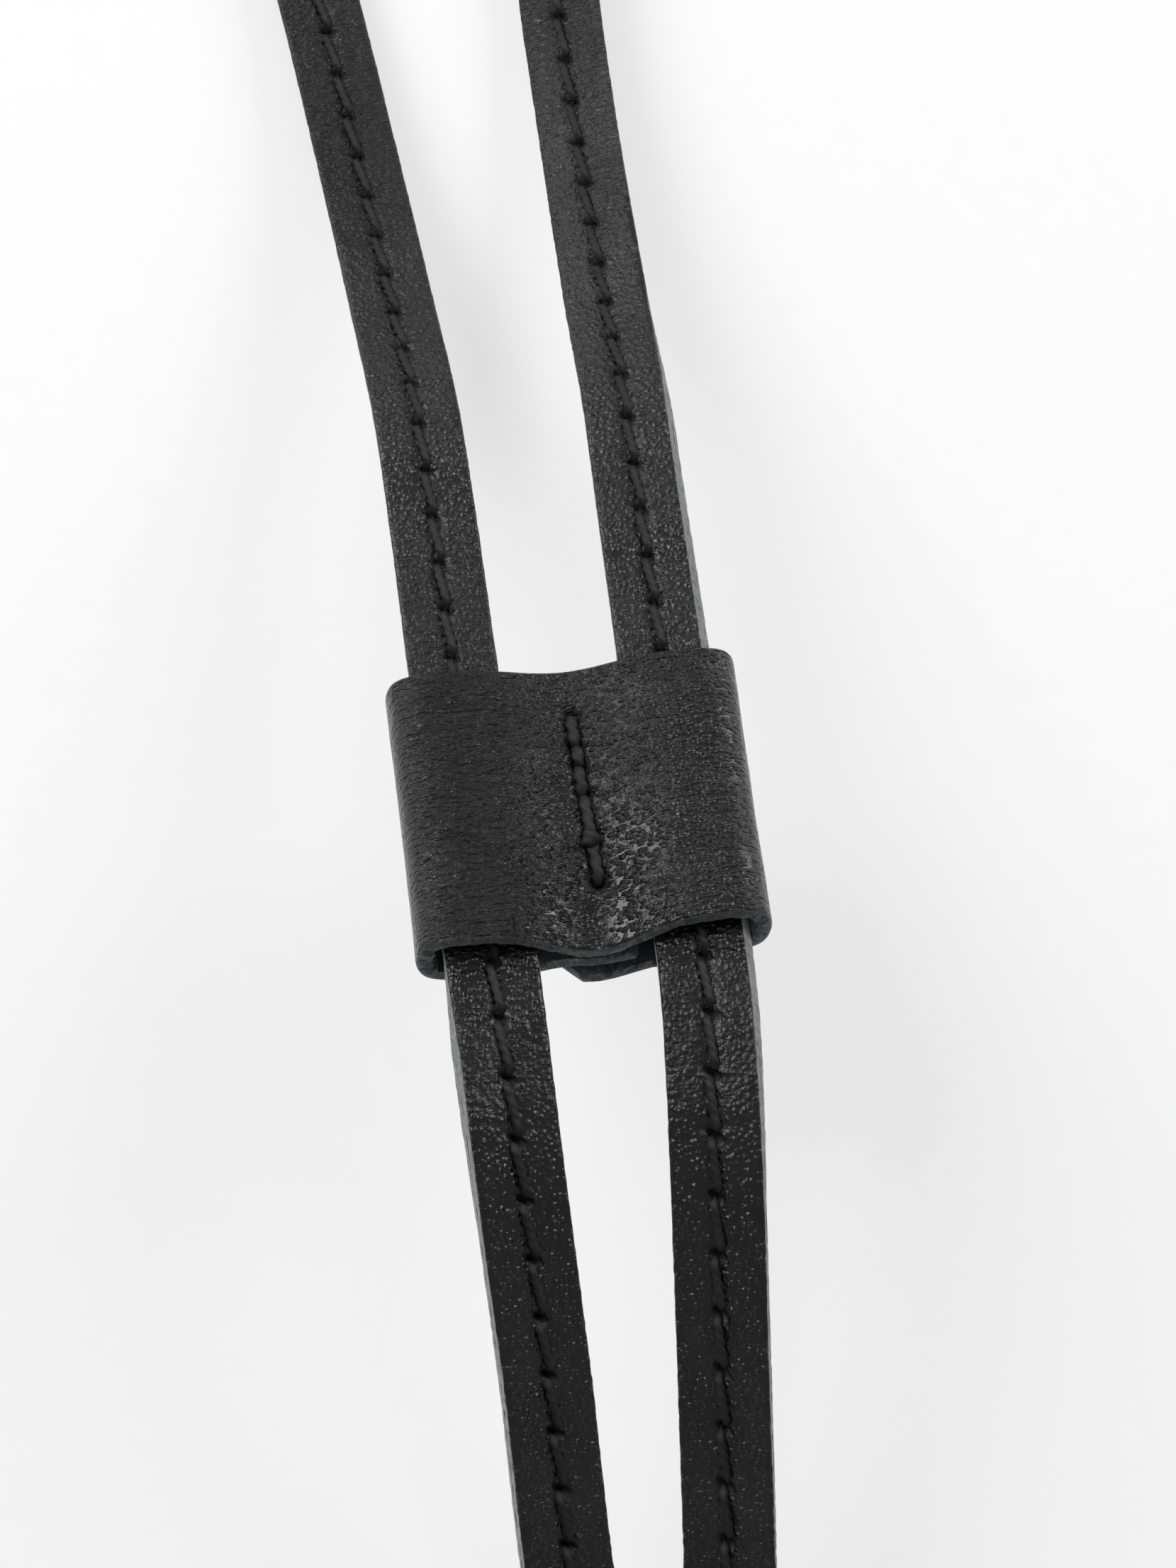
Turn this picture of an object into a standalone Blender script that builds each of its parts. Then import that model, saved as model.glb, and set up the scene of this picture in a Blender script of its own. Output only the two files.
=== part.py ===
"""Saxophone neck strap: padded leather yoke, two doubled leather straps, a sewn
leather slider that grips both straps, a D-ring and a swivel snap hook.

The strap lies on a flat surface. +Y points to the neck yoke, +Z points up and the
origin is at the bottom centre of the whole part. Lengths below are millimetres.
"""
import math

import bmesh
import bpy
from mathutils import Matrix, Vector

MM = 0.001
GAP = 0.3                     # clearance between touching pieces
STITCH_LIFT = 0.2             # a thread's clearance above its leather
MERGE = 0.001 * MM            # points closer than this are one point

# ---- straps ----------------------------------------------------------------
STRAP_WIDTH = 9.8
LAYER = 1.35                  # one leather layer of a doubled strap
LAYER_MID = GAP / 2 + LAYER / 2
RETURN_MID = -(GAP / 2 + LAYER + GAP + LAYER / 2)
THREAD_RADIUS = 0.4
THREAD_LIFT = GAP / 2 + LAYER + STITCH_LIFT + THREAD_RADIUS
STRAP_STEP = 6.0              # spacing of the stations along a strap
CURVE_SAMPLES = 20            # samples of a smooth curve between two of its points
# Stations where the stitching on each face starts and ends.
STRAP_STITCHING = (("front", 1, 3, -3), ("back", -1, 3, -4))
TAIL_STATIONS = 3             # how far the front layer returns under the strap
BACK_LAYER_GAP = 0.6          # from the back layer's end to the ring's bar

# Centre lines from the yoke down to the ring: x, y, z and roll in degrees, where a
# positive roll lifts the outer edge. The run from y 52 to -20 is straight, because
# the slider travels along it.
LEFT_ROUTE = [(-39.1, 196.0, 6.2, 0), (-34.4, 182.0, 6.2, 0), (-27.5, 160.0, 5.0, 0),
              (-22.6, 138.0, 3.2, 0), (-18.8, 115.0, 3.0, 0), (-16.0, 92.0, 5.6, -2),
              (-13.6, 67.0, 13.0, -2), (-12.5, 52.0, 20.1, 0), (-12.0, 38.0, 23.5, 0),
              (-11.7, 20.0, 28.0, 1), (-11.4, 0.0, 33.0, 2), (-11.2, -20.0, 38.0, 5),
              (-11.1, -30.0, 38.6, 13),
              (-10.8, -41.0, 36.2, 18), (-10.0, -60.0, 28.0, 20), (-9.4, -80.0, 18.8, 18),
              (-7.4, -92.0, 13.2, 8), (-6.2, -101.0, 9.6, 2), (-5.8, -107.5, 8.2, 0),
              (-5.8, -114.0, 6.8, 0)]
RIGHT_ROUTE = [(26.1, 196.0, 6.2, 0), (21.4, 182.0, 6.2, 0), (16.2, 160.0, 5.0, 4),
               (12.6, 138.0, 3.4, 12), (11.1, 115.0, 4.0, 20), (11.3, 92.0, 6.6, 24),
               (11.5, 67.0, 13.4, 18), (11.6, 52.0, 20.1, 9), (11.5, 38.0, 23.5, 6),
               (11.4, 20.0, 28.0, 5), (11.2, 0.0, 33.0, 5), (11.0, -20.0, 38.0, 5),
               (10.6, -30.0, 38.6, 11),
               (10.0, -41.0, 36.2, 16), (9.0, -60.0, 28.0, 20), (7.9, -80.0, 18.8, 18),
               (6.8, -92.0, 13.2, 8), (6.1, -101.0, 9.6, 2), (5.8, -107.5, 8.2, 0),
               (5.8, -114.0, 6.8, 0)]

# ---- slider ----------------------------------------------------------------
SLIDER_CENTRE = Vector((-0.15, 0.0, 33.0))
SLIDER_TILT = math.radians(14.0)      # its upper end slopes down towards the yoke
SLIDER_LENGTH = 33.0
SLIDER_LEATHER = 1.8
SEAM_TOP, SEAM_BOTTOM = 10.8, -9.6    # ends of the seam along the slider
SEAM_FRONT, SEAM_BACK = 1.6, -2.6     # leather mid heights at the seam
SEAM_STEPS = 8
SLIDER_STEP = 2.2             # spacing of the points round its section
# One strip of leather, followed from its inner end on the back, round the left fold,
# across the front, round the right fold and over the inner end again.
SLIDER_SECTION = [(4.5, -1.0), (2.2, -0.6), (0.0, -0.5), (-2.5, -0.7), (-4.6, -1.7), (-7.0, -3.3),
                  (-9.5, -4.0), (-12.5, -4.1), (-15.6, -3.9), (-17.5, -2.8), (-18.1, 0.0),
                  (-17.5, 2.8), (-15.6, 3.9), (-12.5, 4.0), (-9.5, 3.8), (-6.5, 3.0),
                  (-3.2, 2.0), (0.0, SEAM_FRONT), (3.2, 2.0), (6.5, 3.0), (9.5, 3.8),
                  (12.5, 4.0), (15.6, 3.9), (17.5, 2.8), (18.1, 0.0), (17.5, -2.8),
                  (15.6, -3.9), (12.5, -4.2), (9.5, -4.2), (6.5, -3.9), (3.2, -3.1),
                  (0.0, SEAM_BACK), (-2.3, -2.7), (-4.6, -3.1)]

# ---- yoke ------------------------------------------------------------------
YOKE_X = -6.5
YOKE_HALF_ROUTE = [(28.2, 183.0), (34.2, 200.0), (42.6, 222.0), (50.5, 250.0),
                   (52.0, 278.0), (43.5, 304.0), (24.5, 323.0), (0.0, 330.0)]
YOKE_HALF_WIDTHS = [9.0, 9.0, 12.8, 17.0, 19.0, 19.8, 20.0, 20.0]
YOKE_CROWNS = [1.6, 1.6, 3.4, 5.6, 6.0, 6.0, 6.0, 6.0]    # rise of the cover above its rim
YOKE_LEATHER = 1.2
RIM = 2.6                     # flat stitched rim round the padding
YOKE_THREAD_RADIUS = 0.4
YOKE_STEP = 9.0
YOKE_COLUMNS = 8              # columns of points across the cover and the padding
SHOULDER_SLOPE, SHOULDER_OFFSET = 2.6, 1.8    # width of the cover's shoulder, from its crown
PADDED_CROWN = 3.2            # least crown of the cover that has padding below it
PADDING_INSET = 1.6           # from the stitched rim to the padding
PADDING_EDGE = 0.4            # least thickness of the padding
PADDING_GAP = 0.5             # clearance between the padding and the cover

# ---- rivets ----------------------------------------------------------------
RIVET_HEAD = 3.3
RIVET_SHANK = 1.4
RIVET_HOLE = RIVET_SHANK + GAP
YOKE_RIVET_FROM_END = 8.0
RIVET_STEPS = 20
# Radius and height above the leather, over the dome and back up inside the socket.
RIVET_CAP = [(0.0, 1.7), (1.6, 1.6), (2.9, 1.1), (RIVET_HEAD, 0.3), (RIVET_HEAD - 0.1, 0.0),
             (RIVET_SHANK + GAP, 0.0), (RIVET_SHANK + GAP, 0.9), (0.0, 0.9)]
RIVET_POST_TOP = 0.6          # height of the post's end inside the cap
FLANGE_RIM, FLANGE_DOME = 0.5, 0.7
COVER_HOLE_DEPTH = 6.0

# ---- D-ring ----------------------------------------------------------------
WIRE = 1.5                    # radius of the ring's wire
RING_HALF = 13.5              # half width, to the wire's centre
RING_CORNER = 3.0
RING_SIDE = 3.5               # straight side between the bar and the bow
WRAP_LEAD = 8.0               # from the strap's last station to the bar
WRAP_GAP = 0.5                # clearance of the leather loop round the bar
WRAP_SWELL = [(-4.6, 0.15), (-2.0, 0.55)]     # the loop's spread before the bar

# ---- swivel eye and snap hook, measured from the ring's bow ------------------
HOOK_DROP = math.radians(5.0)         # the hook's nose dips to the table
EYE_WIRE = 1.2
EYE_RADIUS = 4.8
EYE_LIFT = 1.8                # eye centre above the ring's wire
SHANK = 1.5
HEAD = 2.9
HEAD_TOP, HEAD_BOTTOM = 12.8, 14.4
HEAD_BEVEL = (0.8, 0.5)       # across and along
EYE_STEPS = 20
SHANK_OVERLAP = 0.4           # how far the shank runs into the eye's wire
COLLAR = 4.3
COLLAR_TOP, COLLAR_BOTTOM = 7.5, 12.5
COLLAR_BEVEL = 0.6
HOOK_NECK = [(3.0, 9.6), (5.9, 12.6), (8.0, 16.4)]    # across and along, from the collar
HOOK_WIRE = 2.0
HOOK_SIDE = 9.0               # straight side of the hook, from its axis
BEND_CENTRE = (1.5, 28.0)
BEND_RADIUS = 7.5
NOSE_END = 25.8
PIN_X, PIN_AT = -6.2, 11.0    # gate pin, across and along the hook
PIN_RADIUS = 0.75
PIN_HOLE = 1.0                # bore of the gate round its pin
PIN_CLEARANCE = 0.2
PIN_HEAD = [(0.0, 0.8), (1.1, 0.6), (1.3, 0.2)]       # radius and height past the ears
EAR_OUTER, EAR_INNER = 3.0, 1.8       # half thickness over and between the ears
EAR_BACK, EAR_FRONT = 2.0, -3.3       # behind the pin, and towards the hook's axis
EAR_DROP = 0.8                # from the collar's top to the ears
KNUCKLE = 1.8
SLOT_BACK, SLOT_HALF = 3.0, 4.0       # slot behind the pin, and above and below it
SLOT_DEPTH = 2.7              # from the pin to the slot's inner wall
GATE_HALF_WIDTH = 1.5
SPRING_WIRE = 0.2
SPRING_RADIUS = 1.4
SPRING_TURNS = 1.5
SPRING_LOW, SPRING_HIGH = 0.7, 1.4
SPRING_STEPS = 14             # points in one turn
POCKET_GAP = 0.4              # from the pocket's floor to the spring
CUT_THROUGH = 3.0             # half length of a cut right through the gate

# The ring's bar lies in the loop at the straps' lower ends.
END_Y, END_Z = LEFT_ROUTE[-1][1:3]
END_SLOPE = math.atan2(LEFT_ROUTE[-2][2] - END_Z, LEFT_ROUTE[-2][1] - END_Y)
BAR_DEPTH = (LAYER_MID + RETURN_MID) / 2
BAR_Y = END_Y - WRAP_LEAD * math.cos(END_SLOPE) - BAR_DEPTH * math.sin(END_SLOPE)
BAR_Z = END_Z - WRAP_LEAD * math.sin(END_SLOPE) + BAR_DEPTH * math.cos(END_SLOPE)

BOW_Y = BAR_Y - RING_SIDE - RING_HALF
HOOK_REACH = (BEND_CENTRE[1] + BEND_RADIUS + HOOK_WIRE) * math.cos(HOOK_DROP)
LOW_Y = BOW_Y - HOOK_REACH - EYE_LIFT * math.sin(HOOK_DROP)
HIGH_Y = YOKE_HALF_ROUTE[-1][1] + YOKE_HALF_WIDTHS[-1]
ORIGIN = Vector((YOKE_X, (LOW_Y + HIGH_Y) / 2, 0.0))


def place(x, y, z):
    """A layout point in millimetres as a point of the part's frame in metres."""
    return (Vector((x, y, z)) - ORIGIN) * MM


# ---- scene helpers -----------------------------------------------------------
def clear_scene():
    for item in list(bpy.data.objects):
        bpy.data.objects.remove(item, do_unlink=True)


def new_collection(name):
    group = bpy.data.collections.new(name)
    bpy.context.scene.collection.children.link(group)
    return group


def new_material(name, colour, roughness, metallic=0.0):
    made = bpy.data.materials.new(name)
    made.use_nodes = True
    shader = made.node_tree.nodes["Principled BSDF"]
    shader.inputs["Base Color"].default_value = (*colour, 1.0)
    shader.inputs["Roughness"].default_value = roughness
    shader.inputs["Metallic"].default_value = metallic
    return made


clear_scene()
PARTS = new_collection("saxophone_neck_strap")
CUTTERS = new_collection("cutters")
BLACK_LEATHER = new_material("black_leather", (0.016, 0.015, 0.015), 0.42)
LINING_LEATHER = new_material("lining_leather", (0.035, 0.032, 0.031), 0.75)
FOAM = new_material("foam", (0.09, 0.09, 0.09), 0.95)
WAXED_THREAD = new_material("waxed_thread", (0.014, 0.011, 0.010), 0.60)
NICKEL = new_material("nickel", (0.62, 0.61, 0.58), 0.22, 1.0)
SPRING_STEEL = new_material("spring_steel", (0.45, 0.45, 0.46), 0.35, 1.0)


def add_object(name, data, material=None, collection=None):
    made = bpy.data.objects.new(name, data)
    (collection or PARTS).objects.link(made)
    if material:
        data.materials.append(material)
    return made


def new_empty(name, location, rotation=(0.0, 0.0, 0.0)):
    made = add_object(name, None)
    made.location = location
    made.rotation_euler = rotation
    return made


def attach(child, parent):
    """Parent a piece to its pivot and leave it where it is."""
    bpy.context.view_layer.update()
    child.parent = parent
    child.matrix_parent_inverse = parent.matrix_world.inverted()


def shade_round(mesh, angle=40.0):
    mesh.shade_smooth()
    mesh.set_sharp_from_angle(angle=math.radians(angle))


def sheet(name, rows, thickness, material):
    """Leather: an open surface through rows of points, given its thickness."""
    mesh = bpy.data.meshes.new(name)
    work = bmesh.new()
    verts = [[work.verts.new(point) for point in row] for row in rows]
    for upper, lower in zip(verts, verts[1:]):
        for i in range(len(upper) - 1):
            work.faces.new((upper[i], upper[i + 1], lower[i + 1], lower[i]))
    work.to_mesh(mesh)
    work.free()
    made = add_object(name, mesh, material)
    thicken = made.modifiers.new("thickness", "SOLIDIFY")
    thicken.thickness = thickness * MM
    thicken.offset = 0.0
    thicken.use_even_offset = True
    shade_round(mesh)
    return made


def slab(name, top_rows, bottom_rows, material):
    """A closed body between two surfaces of matching points."""
    mesh = bpy.data.meshes.new(name)
    work = bmesh.new()
    top = [[work.verts.new(point) for point in row] for row in top_rows]
    low = [[work.verts.new(point) for point in row] for row in bottom_rows]
    for grid in (top, low):
        for upper, lower in zip(grid, grid[1:]):
            for i in range(len(upper) - 1):
                work.faces.new((upper[i], upper[i + 1], lower[i + 1], lower[i]))
    rim_top = top[0] + [row[-1] for row in top[1:]] + top[-1][-2::-1] + [row[0] for row in top[-2:0:-1]]
    rim_low = low[0] + [row[-1] for row in low[1:]] + low[-1][-2::-1] + [row[0] for row in low[-2:0:-1]]
    for i in range(len(rim_top)):
        j = (i + 1) % len(rim_top)
        work.faces.new((rim_top[i], rim_top[j], rim_low[j], rim_low[i]))
    bmesh.ops.recalc_face_normals(work, faces=work.faces)
    work.to_mesh(mesh)
    work.free()
    shade_round(mesh)
    return add_object(name, mesh, material)


def wire(name, points, radius, material, cyclic=False, resolution=2):
    """A round wire or thread through a list of points."""
    curve = bpy.data.curves.new(name, "CURVE")
    curve.dimensions = "3D"
    curve.bevel_depth = radius * MM
    curve.bevel_resolution = resolution
    curve.use_fill_caps = True
    spline = curve.splines.new("POLY")
    spline.points.add(len(points) - 1)
    for spot, point in zip(spline.points, points):
        spot.co = (*point, 1.0)
    spline.use_cyclic_u = cyclic
    return add_object(name, curve, material)


def wire_mesh(name, points, radius, material, cyclic=False):
    """The same wire as a closed mesh, ready to be joined or cut."""
    curve = wire(name + "_wire", points, radius, material, cyclic)
    bpy.context.view_layer.update()
    seen = curve.evaluated_get(bpy.context.evaluated_depsgraph_get())
    mesh = bpy.data.meshes.new_from_object(seen)
    work = bmesh.new()
    work.from_mesh(mesh)
    bmesh.ops.remove_doubles(work, verts=work.verts, dist=MERGE)
    work.to_mesh(mesh)
    work.free()
    made = bpy.data.objects.new(name, mesh)
    PARTS.objects.link(made)
    bpy.data.objects.remove(curve, do_unlink=True)
    return made


def turned(name, profile, material, matrix, steps=24, collection=None):
    """A turned piece: its outer side runs from top to bottom, then back up inside."""
    mesh = bpy.data.meshes.new(name)
    points = [(radius * MM, 0.0, height * MM) for radius, height in profile]
    mesh.from_pydata(points, [(i, i + 1) for i in range(len(points) - 1)], [])
    made = add_object(name, mesh, material, collection)
    made.matrix_world = matrix
    screw = made.modifiers.new("turn", "SCREW")
    screw.steps = steps
    screw.render_steps = steps
    screw.use_merge_vertices = True
    screw.merge_threshold = MERGE
    screw.use_smooth_shade = True
    return made


def hide_as_cutter(item):
    item.hide_render = True
    item.display_type = "WIRE"
    return item


def cylinder_cutter(name, radius, bottom, top, matrix):
    profile = [(0.0, top), (radius, top), (radius, bottom), (0.0, bottom)]
    return hide_as_cutter(turned(name, profile, None, matrix, 24, CUTTERS))


def box_cutter(name, low, high, matrix):
    return hide_as_cutter(box_piece(name, low, high, matrix, CUTTERS))


def box_piece(name, low, high, matrix, collection):
    mesh = bpy.data.meshes.new(name)
    work = bmesh.new()
    bmesh.ops.create_cube(work, size=1.0)
    for vert in work.verts:
        vert.co = Vector([(low[i] + high[i]) / 2 + vert.co[i] * (high[i] - low[i])
                          for i in range(3)]) * MM
    work.to_mesh(mesh)
    work.free()
    made = add_object(name, mesh, None, collection)
    made.matrix_world = matrix
    return made


def combine(target, other, operation):
    step = target.modifiers.new(operation.lower(), "BOOLEAN")
    step.operation = operation
    step.object = other


# ---- paths -------------------------------------------------------------------
def catmull(before, start, end, after, t):
    return [0.5 * (2 * b + (c - a) * t + (2 * a - 5 * b + 4 * c - d) * t * t
                   + (3 * b - a - 3 * c + d) * t ** 3)
            for a, b, c, d in zip(before, start, end, after)]


def smooth(points, step):
    """Even stations on a smooth curve through the points; extra columns ride along."""
    first = [2 * a - b for a, b in zip(points[0], points[1])]
    last = [2 * a - b for a, b in zip(points[-1], points[-2])]
    ends = [first] + [list(point) for point in points] + [last]
    dense = []
    for i in range(1, len(ends) - 2):
        dense += [catmull(*ends[i - 1:i + 3], k / CURVE_SAMPLES) for k in range(CURVE_SAMPLES)]
    dense.append(ends[-2])
    lengths = [0.0]
    for a, b in zip(dense, dense[1:]):
        lengths.append(lengths[-1] + math.dist(a[:3], b[:3]))
    count = round(lengths[-1] / step)
    stations, k = [], 0
    for i in range(count + 1):
        wanted = lengths[-1] * i / count
        while k < len(lengths) - 2 and lengths[k + 1] < wanted:
            k += 1
        share = (wanted - lengths[k]) / (lengths[k + 1] - lengths[k])
        stations.append([a + (b - a) * share for a, b in zip(dense[k], dense[k + 1])])
    return stations


class Station:
    """A place on a strap: its point, and the directions down it, across it and out of it."""

    def __init__(self, point, down, roll, outer):
        self.point = point
        self.down = down.normalized()
        level = Vector((0.0, 0.0, 1.0)).cross(self.down).normalized()
        face = self.down.cross(level)
        turn = math.radians(roll) * outer
        self.across = level * math.cos(turn) + face * math.sin(turn)
        self.face = self.down.cross(self.across)
        if self.face.z < 0:
            self.face = -self.face

    def at(self, along=0.0, across=0.0, out=0.0):
        spot = self.point + self.down * along + self.across * across + self.face * out
        return place(*spot)

    def matrix(self, along=0.0, out=0.0):
        """A frame on the strap whose Z is the strap's face direction."""
        spin = Matrix((self.across, self.face.cross(self.across), self.face)).transposed()
        return Matrix.Translation(self.at(along, 0.0, out)) @ spin.to_4x4()


def strap_stations(route, outer):
    spots = smooth(route, STRAP_STEP)
    made = []
    for i, spot in enumerate(spots):
        before, after = spots[max(i - 1, 0)], spots[min(i + 1, len(spots) - 1)]
        down = Vector(after[:3]) - Vector(before[:3])
        made.append(Station(Vector(spot[:3]), down, spot[3], outer))
    return made


def edge_pair(station, along, out):
    half = STRAP_WIDTH / 2
    return [station.at(along, -half, out), station.at(along, half, out)]


def wrap_profile():
    """The front layer's way round the ring's bar, as distances past the bar and above it."""
    radius = WIRE + WRAP_GAP + LAYER / 2
    lead = (LAYER_MID - RETURN_MID) / 2
    rise = [(past, lead + swell) for past, swell in WRAP_SWELL]
    bend = [(radius * math.cos(math.radians(a)), radius * math.sin(math.radians(a)))
            for a in range(90, -91, -20)]
    fall = [(past, -above) for past, above in reversed(rise)]
    return rise + bend + fall


def build_strap(side, route, outer):
    """One doubled strap with its two rows of stitching and its rivets."""
    stations = strap_stations(route, outer)
    end = stations[-1]
    front_rows = [edge_pair(s, 0.0, LAYER_MID) for s in stations]
    front_rows += [edge_pair(end, WRAP_LEAD + past, BAR_DEPTH + above)
                   for past, above in wrap_profile()]
    front_rows += [edge_pair(s, 0.0, RETURN_MID) for s in reversed(stations[-TAIL_STATIONS:])]
    front = sheet(side + "_strap_front", front_rows, LAYER, BLACK_LEATHER)

    back_rows = [edge_pair(s, 0.0, -LAYER_MID) for s in stations]
    back_rows.append(edge_pair(end, WRAP_LEAD - WIRE - BACK_LAYER_GAP, -LAYER_MID))
    back = sheet(side + "_strap_back", back_rows, LAYER, BLACK_LEATHER)

    for face, sign, first, last in STRAP_STITCHING:
        points = [s.at(0.0, 0.0, sign * THREAD_LIFT) for s in stations[first:last]]
        wire(f"{side}_{face}_thread", points, THREAD_RADIUS, WAXED_THREAD, resolution=1)

    yoke_rivet = stations[0].matrix(YOKE_RIVET_FROM_END)
    top = GAP / 2 + LAYER
    build_rivet(side + "_yoke_rivet", yoke_rivet, top, -(top + GAP + YOKE_LEATHER), [front, back])
    ring_rivet = stations[-2].matrix()
    build_rivet(side + "_ring_rivet", ring_rivet, top, RETURN_MID - LAYER / 2, [front, back])
    return yoke_rivet


def build_rivet(name, matrix, top, bottom, leathers):
    """A two-piece rivet: a domed cap above the leather and a post from below."""
    under = top + GAP
    cap = [(radius, under + above) for radius, above in RIVET_CAP]
    turned(name + "_cap", cap, NICKEL, matrix, RIVET_STEPS)
    flange = bottom - GAP
    end = under + RIVET_POST_TOP
    post = [(0.0, end), (RIVET_SHANK, end), (RIVET_SHANK, flange), (RIVET_HEAD, flange),
            (RIVET_HEAD, flange - FLANGE_RIM), (0.0, flange - FLANGE_DOME)]
    turned(name + "_post", post, NICKEL, matrix, RIVET_STEPS)
    hole = cylinder_cutter(name + "_hole", RIVET_HOLE, bottom - 0.1, top + 0.1, matrix)
    for leather in leathers:
        combine(leather, hole, "DIFFERENCE")


# ---- slider ------------------------------------------------------------------
def build_slider():
    """The leather band folded round both straps and sewn down its middle."""
    tilt = Matrix.Rotation(-SLIDER_TILT, 4, "X")
    frame = Matrix.Translation(place(*SLIDER_CENTRE)) @ tilt
    pivot = new_empty("slider_pivot", frame.translation, (-SLIDER_TILT, 0.0, 0.0))

    section = smooth([(x, 0.0, z) for x, z in SLIDER_SECTION], SLIDER_STEP)
    half = SLIDER_LENGTH / 2
    rows = [[Vector((x, y, z)) * MM for x, _, z in section]
            for y in (-half, -half / 3, half / 3, half)]
    band = sheet("slider_band", rows, SLIDER_LEATHER, BLACK_LEATHER)
    band.matrix_world = frame
    attach(band, pivot)

    lift = SLIDER_LEATHER / 2 + STITCH_LIFT + THREAD_RADIUS
    for face, height in (("front", SEAM_FRONT + lift), ("back", SEAM_BACK - lift)):
        points = [Vector((0.0, SEAM_BOTTOM + (SEAM_TOP - SEAM_BOTTOM) * k / SEAM_STEPS, height)) * MM
                  for k in range(SEAM_STEPS + 1)]
        seam = wire(f"slider_{face}_thread", points, THREAD_RADIUS, WAXED_THREAD, resolution=1)
        seam.matrix_world = frame
        attach(seam, pivot)


# ---- yoke --------------------------------------------------------------------
def yoke_route():
    """Stations of the whole yoke: x, y, z, half width and crown."""
    half = [(x, y, 0.0, w, c) for (x, y), w, c
            in zip(YOKE_HALF_ROUTE, YOKE_HALF_WIDTHS, YOKE_CROWNS)]
    left = [(-x, y, z, w, c) for x, y, z, w, c in half]
    return smooth(left + half[-2::-1], YOKE_STEP)


def crown_share(inside, width, crown):
    """Rise of the cover at a distance inside its rim, as a share of the full crown."""
    shoulder = min(width - RIM, SHOULDER_SLOPE * crown - SHOULDER_OFFSET)
    return math.sin(math.pi / 2 * min(1.0, max(0.0, inside) / shoulder))


def reaches(width, columns, rim=0.0):
    """Distances from the centre line across the yoke, with one column along each rim."""
    inner = width - rim
    across = [inner * (-1.0 + 2.0 * k / columns) for k in range(columns + 1)]
    return [-width] + across + [width] if rim else across


def yoke_rows(route, heights, inset=0.0, columns=YOKE_COLUMNS, rim=0.0):
    """Rows of points across the yoke, at a height worked out for each place."""
    rows = []
    for i, (x, y, _, width, crown) in enumerate(route):
        before, after = route[max(i - 1, 0)], route[min(i + 1, len(route) - 1)]
        along = Vector((after[0] - before[0], after[1] - before[1])).normalized()
        out = Vector((-along.y, along.x))
        row = []
        for reach in reaches(width - inset, columns, rim):
            height = heights(reach, width, crown)
            row.append(place(YOKE_X + x + out.x * reach, y + out.y * reach, height))
        rows.append(row)
    return rows


def cover_under(reach, width, crown):
    """Height of the cover's inner face above the table."""
    inside = width - RIM - abs(reach)
    return YOKE_LEATHER + GAP + crown * crown_share(inside, width, crown)


def build_yoke(rivets):
    route = yoke_route()
    sheet("yoke_lining", yoke_rows(route, lambda r, w, c: YOKE_LEATHER / 2, columns=2),
          YOKE_LEATHER, LINING_LEATHER)
    cover_rows = yoke_rows(route, lambda r, w, c: cover_under(r, w, c) + YOKE_LEATHER / 2,
                           rim=RIM)
    cover = sheet("yoke_cover", cover_rows, YOKE_LEATHER, BLACK_LEATHER)

    padded = [spot for spot in route if spot[4] > PADDED_CROWN]
    inset = RIM + PADDING_INSET
    base = YOKE_LEATHER + GAP
    least = base + PADDING_EDGE
    top = yoke_rows(padded, lambda r, w, c: max(least, cover_under(r, w, c) - PADDING_GAP), inset)
    low = yoke_rows(padded, lambda r, w, c: base, inset)
    slab("yoke_padding", top, low, FOAM)

    lift = YOKE_LEATHER + GAP + YOKE_LEATHER + STITCH_LIFT + YOKE_THREAD_RADIUS
    edges = yoke_rows(route[3:-3], lambda r, w, c: lift, RIM / 2, 1)
    for name, column in (("yoke_inner_thread", 0), ("yoke_outer_thread", 1)):
        wire(name, [row[column] for row in edges], YOKE_THREAD_RADIUS, WAXED_THREAD, resolution=1)

    for number, matrix in enumerate(rivets):
        hole = cylinder_cutter(f"cover_hole_{number}", RIVET_HOLE, -COVER_HOLE_DEPTH, 0.0, matrix)
        combine(cover, hole, "DIFFERENCE")


# ---- ring and hook -------------------------------------------------------------
def arc(centre, radius, start, end, steps):
    return [(centre[0] + radius * math.cos(math.radians(start + (end - start) * k / steps)),
             centre[1] + radius * math.sin(math.radians(start + (end - start) * k / steps)))
            for k in range(steps + 1)]


def build_ring():
    """The D-ring: a straight bar, rounded corners and a half-round bow."""
    corner = RING_HALF - RING_CORNER
    outline = arc((corner, BAR_Y - RING_CORNER), RING_CORNER, 90, 0, 3)
    outline += arc((0.0, BAR_Y - RING_SIDE), RING_HALF, 0, -180, 16)
    outline += arc((-corner, BAR_Y - RING_CORNER), RING_CORNER, 180, 90, 3)
    pivot = new_empty("ring_pivot", place(0.0, BAR_Y, BAR_Z))
    ring = wire("d_ring", [place(x, y, BAR_Z) for x, y in outline], WIRE, NICKEL, cyclic=True)
    attach(ring, pivot)


def hook_frame():
    """Frame at the ring's bow: X across, Y up out of the hook's plane, Z towards the ring."""
    spin = Matrix(((1, 0, 0), (0, 0, 1), (0, 1, 0))).to_4x4()
    mirror = Matrix.Diagonal((-1.0, 1.0, 1.0, 1.0))
    drop = Matrix.Rotation(HOOK_DROP, 4, "X")
    return Matrix.Translation(place(0.0, BOW_Y, BAR_Z)) @ drop @ spin @ mirror


def on_hook(frame, across, along, up=0.0):
    return frame @ (Vector((across, EYE_LIFT + up, -along)) * MM)


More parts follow.
